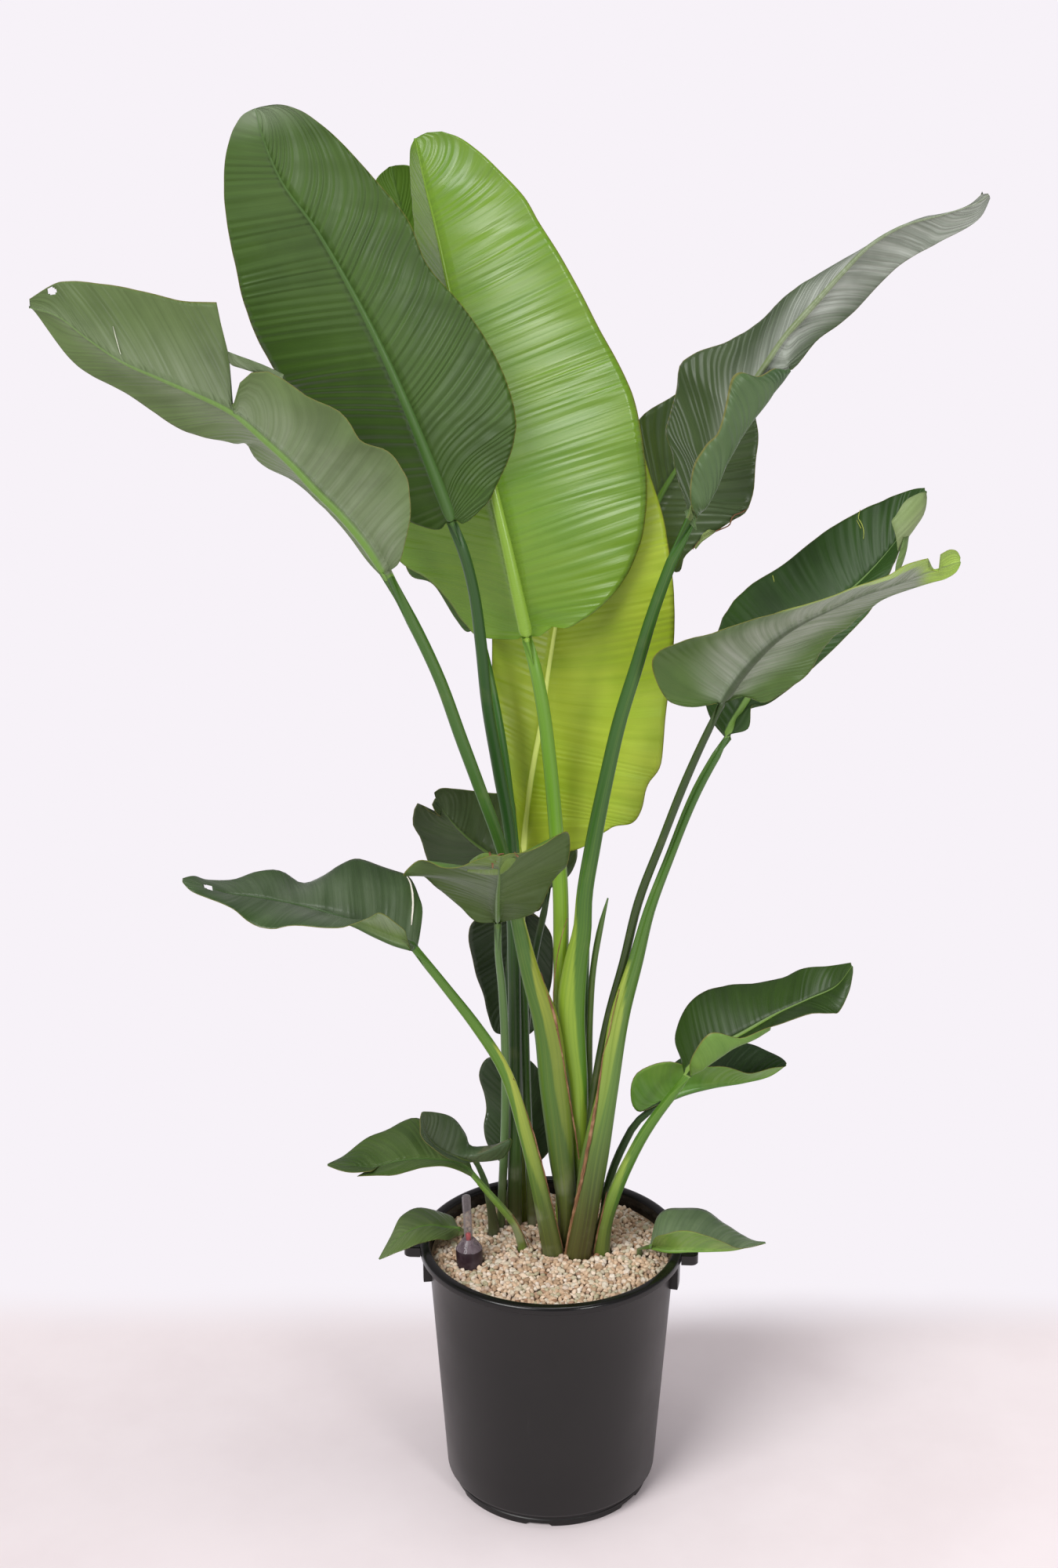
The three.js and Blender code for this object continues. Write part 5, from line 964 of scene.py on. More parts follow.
def ripple(rng, spacing, length):
    """A repeatable smooth wobble along a length, from -1 to 1."""
    count = int(length / spacing) + 4
    knots = rng.uniform(-1, 1, count)

    def at(place):
        x = clamp(place / spacing, 0, count - 1.001)
        i = int(x)
        return mix(knots[i], knots[i + 1], eased(x - i))

    return at


# Meshes

def new_mesh(name, verts, faces, **marks):
    """A smoothly shaded mesh with its marks on the points, from millimetres."""
    mesh = bpy.data.meshes.new(name)
    mesh.from_pydata([tuple(np.asarray(v) * MM) for v in verts], [], faces)
    mesh.polygons.foreach_set("use_smooth", np.ones(len(faces), bool))
    for label, values in marks.items():
        layer = mesh.attributes.new(label, "FLOAT", "POINT")
        layer.data.foreach_set("value", np.array(values, float))
    return mesh


def edged_mesh(name, verts, faces, sharp_degrees=40, **marks):
    """The same with its steeper edges left sharp."""
    mesh = new_mesh(name, verts, faces, **marks)
    mesh.set_sharp_from_angle(angle=math.radians(sharp_degrees))
    mesh.update()
    return mesh


def band(low, high, count):
    """Quads between two closed rings of corners that start at low and high."""
    return [(low + i, low + (i + 1) % count, high + (i + 1) % count, high + i)
            for i in range(count)]


def end_cap(start, columns):
    """Quads that close a ring made of an upper row and a lower row back again."""
    last = start + 2 * columns + 1
    return [(start + j, start + j + 1, last - 1 - j, last - j) for j in range(columns)]


def join(parts):
    """Several pieces of vertices and faces as one."""
    verts, faces = [], []
    for part_verts, part_faces in parts:
        base = len(verts)
        verts += part_verts
        faces += [tuple(base + i for i in face) for face in part_faces]
    return verts, faces


def revolve(profile, segments):
    """A closed profile of (radius, height) turned round the axis. Points on
    the axis become one vertex each."""
    verts, rings = [], []
    for radius, height in profile:
        count = segments if radius > 1e-6 else 1
        rings.append(range(len(verts), len(verts) + count))
        for i in range(count):
            verts.append((*polar(radius, 2 * math.pi * i / segments - math.pi / 2), height))
    pairs = list(zip(rings, rings[1:]))
    if len(rings[0]) > 1:
        pairs.append((rings[-1], rings[0]))
    faces = []
    for low, high in pairs:
        if len(low) == len(high) == 1:
            continue
        for i in range(segments):
            j = (i + 1) % segments
            if len(low) == 1:
                faces.append((low[0], high[j], high[i]))
            elif len(high) == 1:
                faces.append((low[i], low[j], high[0]))
            else:
                faces.append((low[i], low[j], high[j], high[i]))
    return verts, faces


def stacked(levels):
    """Outlines of equal length at growing heights, joined and capped."""
    count = len(levels[0][0])
    verts = [(x, y, height) for outline, height in levels for x, y in outline]
    top = len(verts) - count
    faces = [face for low in range(0, top, count) for face in band(low, low + count, count)]
    faces += [tuple(reversed(range(count))), tuple(range(top, top + count))]
    return verts, faces


# Leaves

class Leaf:
    """The shape of one leaf: its petiole's ovals and its blade's cross-sections,
    each a ring of points over the upper face and back under the lower."""

    def __init__(self, data, index):
        self.data = data
        self.index = index
        self.rng = np.random.default_rng(LEAF_SEED + index)
        self.stem = [np.array(row, float) for row in data["stem"]]
        self.has_blade = "rib" in data
        self.halves = LARGE_HALF if len(data.get("rib", ())) > LONG_RIB else SMALL_HALF
        if self.has_blade:
            shares, self.length = chord_shares(data["rib"])
            self.rib = smooth_curve(shares, data["rib"])
            self.margins = [margin_curve(data[side]) for side in ("left", "right")]
            self.folds = [self.fold(data.get(side)) for side in ("left_fold", "right_fold")]
            self.pleats = [ripple(self.rng, PLEAT_SPACING, self.length) for _ in range(2)]
            self.swells = [ripple(self.rng, SWELL_SPACING, self.length) for _ in range(2)]

    @staticmethod
    def fold(rows):
        return (margin_curve(rows), rows[-1][0]) if rows else None

    def blade_frame(self, share):
        left, right = (margin(clamp(share, *FRAME_SHARES)) for margin in self.margins)
        along = tangent_of(self.rib, share)
        side = square_to(right - left, along)
        return along, side, np.cross(side, along)

    def stations(self):
        """Shares along the rib, with every lip of a tear among them."""
        count = int(clamp(self.length / STATION_SPACING, *STATION_LIMITS))
        even = [k / count for k in range(count + 1)]
        shares = {s - STATION_EASE * math.sin(2 * math.pi * s) for s in even}
        for rows in (self.data["left"], self.data["right"]):
            for before, after in zip(rows, rows[1:]):
                if after[0] - before[0] < TEAR_GAP:
                    shares |= {before[0], after[0]}
        return sorted(shares)

    def columns(self, inner):
        """Shares from the rib to the margin, close together over the rib."""
        rib = [inner * s for s in RIB_COLUMNS]
        rest = self.halves - len(rib)
        return rib + [mix(inner, 1.0, (k / rest) ** COLUMN_EASE) for k in range(1, rest + 1)]

    def half(self, share, sign, root, axes, rib_half, groove, keel):
        """Upper and lower point, share across and share of rib, rib outwards."""
        along, side, normal = axes
        pick = int(sign > 0)
        margin = self.margins[pick](share)
        if share >= 1.0:
            margin = root + side * sign * TIP_HALF_WIDTH
        reach = float(np.linalg.norm(margin - root))
        control = mix(root, margin, 0.5) + normal * BLADE_ARCH * reach
        pull = 1.0
        if self.folds[pick]:
            curve, end = self.folds[pick]
            fade = clamp((share - end) / FOLD_FADE)
            control = mix(curve(min(share, end)), control, fade)
            pull = mix(FOLD_WEIGHT, 1.0, fade)

        def place(t):
            near, bent, far = (1 - t) ** 2, 2 * pull * t * (1 - t), t * t
            return (root * near + control * bent + margin * far) / (near + bent + far)

        inner = min(RIB_SHARE_LIMIT, rib_half / (2 * pull * float(np.linalg.norm(control - root))))
        ends = math.sin(math.pi * share)
        size = min(1.0, reach / FULL_RELIEF_REACH)
        wave = BLADE_WAVE * ends * size * math.sin(
            math.pi * 2 * BLADE_WAVES * share + self.index * sign)
        pleat = self.pleats[pick](share * self.length) * PLEAT_HEIGHT * size
        swell = self.swells[pick](share * self.length) * SWELL_HEIGHT * size * ends
        points = []
        for t in self.columns(inner):
            out = np.cross(tangent_of(place, t, 0.02), along) * sign
            out = unit(out + normal * RELIEF_UPRIGHT)
            over = clamp((t - inner) / PLEAT_RISE)
            here = place(t) + out * (wave * t * t + swell * t * t * over
                                     + pleat * over * mix(PLEAT_AT_RIB, 1.0, t))
            ridge = math.sqrt(max(0.0, 1 - (t / inner) ** 2))
            points.append((here + out * (BLADE_THICKNESS / 2 - groove * ridge),
                           here - out * (BLADE_THICKNESS / 2 + keel * ridge),
                           sign * t, max(0.0, 1 - (t / inner) ** 4)))
        return points

    def blade_ring(self, share):
        axes = self.blade_frame(share)
        normal = axes[2]
        width, thickness = self.stem[-1][3:5]
        fading = (1 - share) ** RIB_FADE
        depth = mix(RIB_TIP, thickness, fading)
        rib_half = mix(1.0, width / 2 * self.data.get("rib_width", 1.0), fading)
        root = self.rib(share) + normal * (depth / 2 - BLADE_THICKNESS)
        groove = GROOVE * depth * min(1.0, share * 12 + 0.3)
        keel = max(depth - 2 * BLADE_THICKNESS, KEEL_LEAST)
        left, right = (self.half(share, sign, root, axes, rib_half, groove, keel)
                       for sign in (-1, 1))
        middle = (root + normal * (BLADE_THICKNESS / 2 - groove),
                  root - normal * (BLADE_THICKNESS / 2 + keel), 0.0, 1.0)
        upper, lower, across, ribbed = zip(*left[::-1], middle, *right)
        return upper + lower[::-1], across + across[::-1], ribbed + ribbed[::-1]

    def oval_ring(self, centre, axes, width, thickness, channel):
        """An oval as wide and deep as seen from the front, with its channel."""
        along, side, normal = axes
        wide = unit(np.cross(along, VIEW_LINE))
        deep = np.cross(along, wide)
        count = self.halves * 2 + 1
        ring = []
        for face in (1, -1):
            row = []
            for j in range(count):
                angle = math.pi * (1 - (j + 0.5) / count)
                way = side * math.cos(angle) + normal * (math.sin(angle) * face)
                reach = 1 / math.hypot(np.dot(way, wide) / (width / 2),
                                       np.dot(way, deep) / (thickness / 2))
                if face > 0:
                    dip = math.exp(-((angle - math.pi / 2) / CHANNEL_WIDTH) ** 2)
                    reach *= mix(1.0, channel, dip)
                row.append(centre + way * reach)
            ring += row[::face]
        return ring

    def stem_rings(self):
        """Rings and their places along the leaf, from the foot in the pumice to
        the top of the petiole. They are made from the blade downwards."""
        path = [row[:3] for row in self.stem]
        side = np.array((-1.0, 0.0, 0.0))
        if self.has_blade:
            path = path + [np.array(self.data["rib"][0], float)]
            side = self.blade_frame(0.0)[1]
        shares, length = chord_shares(path)
        curve = smooth_curve(shares, path)
        rows = self.stem + [self.stem[-1]] * (len(path) - len(self.stem))
        sizes = smooth_curve(shares, [(row[3], row[4], 0) for row in rows])
        top = shares[len(self.stem) - 1]
        count = int(length * top / STEM_SPACING)
        rings = []
        for k in range(count, -1, -1):
            share = top * k / max(count, 1)
            along = tangent_of(curve, share) if k else np.array((0.0, 0.0, 1.0))
            side = square_to(side, along)
            axes = (along, side, np.cross(side, along))
            width, thickness, _ = sizes(share)
            channel = mix(1.0, CHANNEL, clamp(share * CHANNEL_RISE))
            rings.append((self.oval_ring(curve(share), axes, width, thickness, channel),
                          share * length))
        foot = np.array((*path[0][:2], STEM_FOOT))
        rings.append((self.oval_ring(foot, axes, width * FOOT_TAPER, thickness * FOOT_TAPER, 1.0),
                      FOOT_PLACE))
        return rings[::-1]


def window(value, low, high, soft):
    """One inside a range, falling smoothly to zero over soft on each side."""
    return (eased(clamp((value - low) / soft + 0.5))
            * eased(clamp((high - value) / soft + 0.5)))


def wing_strengths(leaf, ring):
    """How far each point of a petiole's ring lies in the pale wing of its sheath."""
    if "wing" not in leaf.data:
        return [0.0] * len(ring)
    points = np.array(ring)
    rows = np.array(leaf.data["wing"])[::-1]
    middle = points.mean(axis=0)
    offsets = (points - middle) @ unit(np.cross(VIEW_LINE, (0.0, 0.0, 1.0)))
    offsets /= max(abs(offsets).max(), 1e-6)
    low, high, strength = (np.interp(middle[2], rows[:, 0], rows[:, k]) for k in (1, 2, 3))
    if middle[2] > rows[-1, 0] + WING_FADE:
        strength = 0.0
    return [strength * window(t, low, high, WING_SOFTNESS) for t in offsets]


def pale_strength(leaf, share, across):
    """How strongly the blade's pale marks show at a place on it."""
    return max([0.0] + [
        strength * window(share, start, end, MARK_SOFTNESS)
        * window(abs(across), reach, 2.0, 2 * MARK_SOFTNESS)
        for side, start, end, reach, strength in leaf.data.get("marks", ())
        if side == 0 or side * across > 0])


class Skin:
    """Faces with their slots and places on the leaf, gathered into one mesh."""

    def __init__(self):
        self.verts, self.places, self.faces, self.slots = [], [], [], []
        self.marks = {"rib": [], "wing": [], "pale": []}

    def add(self, verts, places, **marks):
        """Points and their places on the leaf. A mark is one value or one a point."""
        self.verts += list(verts)
        self.places += places
        for label in self.marks:
            value = marks.get(label, 0.0)
            self.marks[label] += value if isinstance(value, list) else [value] * len(verts)

    def close(self, faces, slot):
        """Faces between points that are already there."""
        self.faces += faces
        self.slots += [slot] * len(faces)

    def mesh(self, name):
        mesh = new_mesh(name, self.verts, self.faces, **self.marks)
        uv = mesh.uv_layers.new(name="leaf")
        index = np.empty(len(mesh.loops), int)
        mesh.loops.foreach_get("vertex_index", index)
        uv.data.foreach_set("uv", np.array(self.places, float)[index].ravel())
        mesh.polygons.foreach_set("material_index", np.array(self.slots, np.int32))
        mesh.update()
        return mesh


def add_sheet(skin, edges, slot, pale, thickness=FLAP_THICKNESS, columns=6, bulge=0.12):
    """A thin curled piece between two edges, closed all round."""
    near, far = (smooth_curve(chord_shares(edge)[0], edge) for edge in edges)
    length = chord_shares(edges[1])[1]
    rows = max(6, int(length / FLAP_STEP))
    base = len(skin.verts)
    width = 2 * (columns + 1)
    for k in range(rows + 1):
        a, b = near(k / rows), far(k / rows)
        out = unit(np.cross(b - a, tangent_of(near, k / rows, 0.05)))
        out *= -1 if np.dot(out, VIEW_LINE) > 0 else 1
        rise = bulge * float(np.linalg.norm(b - a))
        row = [mix(a, b, j / columns) + out * rise * math.sin(math.pi * j / columns)
               for j in range(columns + 1)]
        places = [(k * length / rows * MM, j / columns * FLAP_ACROSS) for j in range(columns + 1)]
        skin.add([p + out * thickness / 2 for p in row]
                 + [p - out * thickness / 2 for p in reversed(row)],
                 places + places[::-1], pale=pale)
    for k in range(rows):
        skin.close(band(base + k * width, base + (k + 1) * width, width), slot)
    skin.close(end_cap(base, columns), slot)
    skin.close([quad[::-1] for quad in end_cap(base + rows * width, columns)], slot)


def add_strip(skin, rows, rng, pale):
    """A dry margin or scratch: a narrow ragged strip lying on the leaf."""
    points = [np.array(row[:3], float) for row in rows]
    shares, length = chord_shares(points)
    path = smooth_curve(shares, points)
    steps = max(4, int(length / STRIP_STEP))
    left, right = [], []
    for k in range(steps + 1):
        share = k / steps
        wide = unit(np.cross(tangent_of(path, share), VIEW_LINE))
        half = float(np.interp(share, shares, [row[3] for row in rows])) / 2
        left.append(path(share) + wide * half * rng.uniform(*STRIP_RAGGED))
        right.append(path(share) - wide * half * rng.uniform(*STRIP_RAGGED))
    add_sheet(skin, (left, right), DRY, pale, STRIP_THICKNESS, columns=2, bulge=0.25)


def leaf_mesh(name, leaf):
    """The leaf's closed mesh, and where along it the blade starts and how long
    it is. UV: metres along the leaf and the share across it. The attributes
    say what is rib, pale wing and pale mark."""
    skin = Skin()
    stems = leaf.stem_rings()
    width = len(stems[0][0])
    half = width // 2
    around = [j / width for j in range(width)]
    for ring, place in stems:
        skin.add(ring, [(place * MM, a) for a in around], wing=wing_strengths(leaf, ring))
    petiole_rows = rows = len(stems)
    top = stems[-1][1] * MM
    extent = (top, top)
    if leaf.has_blade:
        blade = [(share, *leaf.blade_ring(share)) for share in leaf.stations()]
        for k in range(1, BRIDGE_ROWS):
            bend = mix(k / BRIDGE_ROWS, eased(k / BRIDGE_ROWS), BRIDGE_EASE)
            skin.add([mix(p, q, bend) for p, q in zip(stems[-1][0], blade[0][1])],
                     [(top + BRIDGE_STEP * k, a) for a in around], rib=1.0)
        petiole_rows += BRIDGE_ROWS - 1
        top += BRIDGE_STEP * BRIDGE_ROWS
        extent = (top, leaf.length * MM)
        for share, ring, across, rib in blade:
            skin.add(ring, [(top + share * leaf.length * MM, a) for a in across],
                     rib=[r * (1 - RIB_DULLING * share) for r in rib],
                     pale=[pale_strength(leaf, share, a) for a in across])
        rows = petiole_rows + len(blade)

    def is_torn(k, i):
        """Whether the pair of faces from row k and column i lies in a hole."""
        middle = (skin.verts[k * width + i] + skin.verts[(k + 1) * width + i + 1]) / 2
        return any(np.linalg.norm(middle - hole[:3]) < hole[3] for hole in leaf.data["holes"])

    torn = {(k, i) for k in range(rows - 1) for i in range(half - 1)
            if "holes" in leaf.data and is_torn(k, i)}
    for k in range(rows - 1):
        for i, quad in enumerate(band(k * width, (k + 1) * width, width)):
            if (k, i if i < half else width - 2 - i) not in torn:
                on_blade = UPPER if i < half else UNDER
                skin.close([quad], PETIOLE if k < petiole_rows - 1 else on_blade)
    for k, i in sorted(torn):
        corners = [(k, i), (k, i + 1), (k + 1, i + 1), (k + 1, i)]
        beyond = [(k - 1, i), (k, i + 1), (k + 1, i), (k, i - 1)]
        for side in range(4):
            if beyond[side] not in torn:
                a, b = corners[side], corners[(side + 1) % 4]
                upper = [r * width + c for r, c in (a, b)]
                lower = [(r + 1) * width - 1 - c for r, c in (b, a)]
                skin.close([tuple(upper + lower)], UPPER)
    skin.close(end_cap((rows - 1) * width, half - 1), UNDER)
    skin.close([quad[::-1] for quad in end_cap(0, half - 1)], PETIOLE)
    for pale, *edges in leaf.data.get("flaps", ()):
        add_sheet(skin, edges, UNDER, pale)
    for key, pale in (("dry", 0.0), ("scratches", 1.0)):
        for line in leaf.data.get(key, ()):
            add_strip(skin, line, leaf.rng, pale)
    return skin.mesh(name), extent


# Materials

def colour(code):
    """An sRGB hex colour as linear values."""
    parts = [int(code[i:i + 2], 16) / 255 for i in (0, 2, 4)]
    linear = [p / 12.92 if p <= 0.04045 else ((p + 0.055) / 1.055) ** 2.4 for p in parts]
    return (*linear, 1.0)


class Shader:
    """A material with one Principled surface and short calls for its nodes."""

    def __init__(self, name, roughness, **values):
        self.material = bpy.data.materials.new(name)
        self.material.use_nodes = True
        self.tree = self.material.node_tree
        self.surface = self.tree.nodes["Principled BSDF"]
        self.paint(Roughness=roughness, **values)

    def put(self, target, value):
        if isinstance(value, (int, float, tuple)):
            target.default_value = value
        else:
            self.tree.links.new(value, target)

    def paint(self, **values):
        """Gives the surface's inputs a value or what a node makes."""
        for key, value in values.items():
            self.put(self.surface.inputs[key.replace("_", " ")], value)
        return self.material

    def node(self, kind, inputs, **settings):
        """A node with its inputs filled."""
        made = self.tree.nodes.new("ShaderNode" + kind)
        for key, value in settings.items():
            setattr(made, key, value)
        for key, value in inputs.items():
            self.put(made.inputs[key], value)
        return made

    def math(self, operation, a, b=0.0):
        return self.node("Math", {0: a, 1: b}, operation=operation).outputs[0]

    def times(self, a, b):
        return self.math("MULTIPLY", a, b)

    def ramp(self, value, low, high, start=0.0, end=1.0):
        limits = {"From Min": low, "From Max": high, "To Min": start, "To Max": end}
        return self.node("MapRange", {"Value": value, **limits},
                         interpolation_type="SMOOTHSTEP").outputs["Result"]

    def blend(self, share, a, b):
        return self.node("Mix", {"Factor": share, "A": a, "B": b}, data_type="RGBA",
                         blend_type="MIX").outputs["Result"]

    def layers(self, base, *rows):
        """Colours laid over the base. Each row: the colour, a value, from and to
        where it rises, and how strong it gets there and, if not 0, before."""
        for tone, value, low, high, most, *least in rows:
            share = self.ramp(value, low, high, *(least or [0.0]), most)
            base = self.blend(share, base, colour(tone))
        return base

    def noise(self, vector, scale, detail=2.0, rough=0.5):
        return self.node("TexNoise", {"Vector": vector, "Scale": scale, "Detail": detail,
                                      "Roughness": rough}).outputs["Fac"]

    def streaks(self, vector, stretch, detail=2.0, rough=0.5):
        """Noise drawn out along the axes on which its scale is small."""
        drawn = self.node("Mapping", {"Vector": vector, "Scale": stretch}).outputs["Vector"]
        return self.noise(drawn, 1.0, detail, rough)

    def object_place(self):
        return self.node("TexCoord", {}).outputs["Object"]

    def leaf_place(self):
        return self.node("UVMap", {}, uv_map="leaf").outputs["UV"]

    def attribute(self, name):
        return self.node("Attribute", {}, attribute_name=name).outputs["Fac"]

    def split(self, vector):
        return self.node("SeparateXYZ", {0: vector}).outputs

    def relief(self, *levels):
        """Bumps laid over each other, each with height, distance and strength."""
        below = {}
        for height, distance, strength in levels:
            bump = self.node("Bump", {"Height": height, "Distance": distance,
                                      "Strength": strength, **below})
            below = {"Normal": bump.outputs["Normal"]}
        return below["Normal"]


def blade_material(name, tones, look, bloom_tone, bloom_reach, extent, seed):
    """Veined blade: pleats and fine streaks along the veins, darker pleat stripes
    that are painted shade of the folds, a smooth rib of its own colour, a thin
    dry margin and a waxy bloom whose grey is partly a painted sheen."""
    dark, light, rib, pale = tones
    depth, lean_left, lean_right, roughness, bloom_sheen_level = look
    s = Shader(name, roughness, Specular_IOR_Level=0.4, Sheen_Weight=0.4 * bloom_sheen_level,
               Sheen_Roughness=0.45, Sheen_Tint=colour("d8dcd2"))
    on_leaf = s.split(s.leaf_place())
    across = s.math("ABSOLUTE", on_leaf["Y"])
    along = s.math("SUBTRACT", on_leaf["X"], s.times(across, (lean_left + lean_right) / 2))
    along = s.math("SUBTRACT", along, s.times(on_leaf["Y"], (lean_right - lean_left) / 2))
    shifted = {0: s.math("ADD", along, seed * SEED_SHIFT[0]),
               1: s.math("ADD", on_leaf["Y"], seed * SEED_SHIFT[1]), 2: seed}
    place = s.node("CombineXYZ", shifted).outputs[0]
    drift = s.streaks(place, (22, 0.05, 1))
    turns = s.math("ADD", s.math("DIVIDE", along, PLEAT_PITCH), s.times(drift, PLEAT_DRIFT))
    pleats = s.math("SINE", s.times(turns, 2 * math.pi))
    bands = s.streaks(place, (60, 0.5, 1))
    veins = s.streaks(place, (260, 0.5, 1), 2.0, 0.6)
    fine = s.streaks(place, (800, 0.9, 1), 1.0)
    patches = s.noise(s.object_place(), 9.0, 4.0, 0.6)
    base = s.layers(colour(dark), (light, bands, 0.25, 0.75, 0.7, 0.2),
                    (light, patches, 0.4, 0.65, 0.6), (dark, patches, 0.5, 0.3, 0.5))
    # Waxy bloom laid over the colour: partly real bloom, partly a painted sheen standing in for a
    # grey glancing reflection.
    if bloom_sheen_level:
        start, length = extent
        outwards, low, high, rest = bloom_reach
        share = s.math("DIVIDE", s.math("SUBTRACT", on_leaf["X"], start), length)
        reach = s.math("SUBTRACT", across, s.times(share, outwards))
        bloom_sheen_share = s.times(s.ramp(patches, 0.3, 0.7, 0.65, 1.0),
                        s.ramp(reach, low, high, bloom_sheen_level * 1.3, bloom_sheen_level * rest))
        bloom_sheen_share = s.times(bloom_sheen_share, s.ramp(bands, 0.35, 0.65, 0.6, 1.0))
        base = s.blend(bloom_sheen_share, base, colour(bloom_tone))
    # The darker stripes on the pleats are painted shade of the pleat folds; the vein lines and fine
    # streaks are the leaf's own colour.
    base = s.layers(base, (dark, pleats, 0.6, 1.0, 0.3 * depth), (dark, veins, 0.4, 0.7, 0.28),
                    (light, fine, 0.4, 0.65, 0.1))
    marks = s.layers(colour(pale), (light, bands, 0.3, 0.7, 0.35))
    base = s.blend(s.attribute("pale"), base, marks)
    base = s.layers(base, (rib, s.attribute("rib"), 0.3, 0.95, 0.85),
                    (MARGIN, across, 0.986, 0.998, 0.7))
    off_rib = s.ramp(s.attribute("rib"), 0.02, 0.3, 1.0, 0.0)
    normal = s.relief((s.times(pleats, off_rib), 0.0007, depth),
                      (s.times(bands, off_rib), 0.004, 0.3 * depth),
                      (s.times(veins, off_rib), 0.0008, 0.4),
                      (s.times(fine, off_rib), 0.0002, 0.25))
    gloss = s.ramp(veins, 0.2, 0.8, roughness - 0.05, roughness + 0.07)
    return s.paint(Base_Color=base, Normal=normal, Roughness=gloss)


def petiole_material(name, low, middle, high, pale, seed):
    """Fibrous petiole: browner at the pumice, with the pale wings of a sheath."""
    s = Shader(name, 0.36, Specular_IOR_Level=0.45)
    place = s.leaf_place()
    height = s.split(place)["X"]
    fibres = s.streaks(place, (3, 50, 1), 3.0)
    streaks = s.streaks(place, (2.2, 20, 1))
    patches = s.noise(s.object_place(), 20.0 + seed * 0.1, 3.0)
    rising = s.math("ADD", height, s.times(streaks, 0.08))
    base = s.layers(colour(low), (middle, height, 0.04, 0.24, 1.0), (high, height, 0.28, 0.6, 1.0),
                    (pale, streaks, 0.45, 0.7, 0.14), ("1f3317", fibres, 0.35, 0.7, 0.18))
    wing = s.layers(colour(pale), (middle, streaks, 0.3, 0.7, 0.35))
    base = s.blend(s.attribute("wing"), base, wing)
    base = s.layers(base, ("a4a46a", patches, 0.55, 0.8, 0.12),
                    (FOOT_BROWN, rising, 0.15, 0.04, 0.45))
    dust = s.times(s.ramp(patches, 0.45, 0.65), s.ramp(rising, 0.16, 0.08, 0.0, 0.25))
    base = s.blend(dust, base, colour("b9b8a4"))
    return s.paint(Base_Color=base, Normal=s.relief((fibres, 0.0005, 0.3), (streaks, 0.001, 0.25)),
                   Roughness=s.ramp(fibres, 0.2, 0.8, 0.3, 0.44))


def dry_material(name, pale):
    """Papery brown edge with long fibres, or a pale scratch."""
    s = Shader(name, 0.65, Specular_IOR_Level=0.3)
    fibres = s.streaks(s.leaf_place(), (60, 6, 1), 3.0)
    blotches = s.noise(s.object_place(), 60.0)
    base = s.layers(colour("5f3d2a"), ("96704c", fibres, 0.3, 0.7, 1.0),
                    ("c49a78", blotches, 0.5, 0.75, 0.5))
    base = s.blend(s.attribute("pale"), base, colour(pale))
    return s.paint(Base_Color=base, Normal=s.relief((fibres, 0.0004, 0.5)))


def add_object(name, data):
    made = bpy.data.objects.new(name, data)
    bpy.context.scene.collection.objects.link(made)
    return made


def add_piece(mesh, name, node_names, materials):
    """Puts a finished mesh in the scene, standing for its CAD nodes."""
    for made in materials:
        mesh.materials.append(made)
    piece = add_object(name, mesh)
    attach(piece, "root")
    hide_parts(*node_names)


def make_leaf(short, data, index):
    name = "leaf_" + short
    mesh, extent = leaf_mesh(name, Leaf(data, index))
    tones = data["tones"].split()
    rib, pale = tones[4], tones[9]
    look = data.get("look", PLAIN_LOOK)
    upper_look = (*look[:3], look[3] - UPPER_SHINE, data.get("upper_bloom", 0.0))
    materials = [
        blade_material(name + "_upper", (*tones[0:2], data.get("upper_rib", rib), pale),
                       upper_look, BLOOM_AND_SHEEN, EVEN_REACH, extent, index),
        blade_material(name + "_under", (*tones[2:4], rib, pale), look,
                       data.get("bloom_tone", BLOOM_AND_SHEEN), data.get("bloom_reach", EVEN_REACH),
                       extent, index + UNDER_SEED),
        petiole_material(name + "_petiole", *tones[5:9], index),
    ]
    if "dry" in data or "scratches" in data:
        materials.append(dry_material(name + "_dry", data.get("scratch_tone", SCRATCH)))
    add_piece(mesh, name + "_fine", [name], materials)


# Pot

def wall_radius(height):
    share = (height - POT_STEP) / (POT_LIP_FOOT - 4 - POT_STEP)
    return mix(POT_WALL_LOW_RADIUS, POT_WALL_TOP_RADIUS, share)


def pot_profile():
    """Half the pot's section: out along the foot, up, over the rim and in."""
    foot, rim, top = POT_FOOT_RADIUS, POT_RIM_RADIUS, POT_HEIGHT
    inner = [(wall_radius(z) - POT_WALL, z) for z in (330, 250, 180, 110, 60, 25)]
    outer = [(wall_radius(z), z) for z in (23, 60, 110, 180, 250, 333)]
    return [
        (0, 0), (NOTCH_INNER_RADIUS - 1, 0), (NOTCH_INNER_RADIUS, 0), (foot - 1.5, 0),
        (foot - 0.4, 0.4), (foot, 1.5), (foot, 7.6), (foot + 0.9, 8.6), (foot + 0.9, 9.4),
        (foot, 10.4), (foot, 16.5), (foot + 0.6, POT_FOOT_HEIGHT),
        (POT_WALL_LOW_RADIUS - 2, POT_FOOT_HEIGHT + 1.2), (POT_WALL_LOW_RADIUS - 0.5, 20.6),
        *outer, (rim - 9.5, top - 4.5), (rim - 3.6, top - 3.6),
        (rim - POT_WALL, top - 5), (rim - POT_WALL, POT_LIP_FOOT + 0.6),
        (rim - POT_WALL + 0.6, POT_LIP_FOOT), (rim - 0.6, POT_LIP_FOOT),
        (rim, POT_LIP_FOOT + 0.7), (rim, top - 4.6), (rim - 0.5, top - 2.6),
        (rim - 1.7, top - 1.0), (rim - 4.2, top), (rim - 9.5, top), (rim - 11.6, top - 0.7),
        (rim - 13.2, top - 2.6), (rim - 14.1, top - 6), *inner,
        (foot - POT_WALL, 19.5), (foot - POT_WALL, POT_WALL), (0, POT_WALL),
    ]


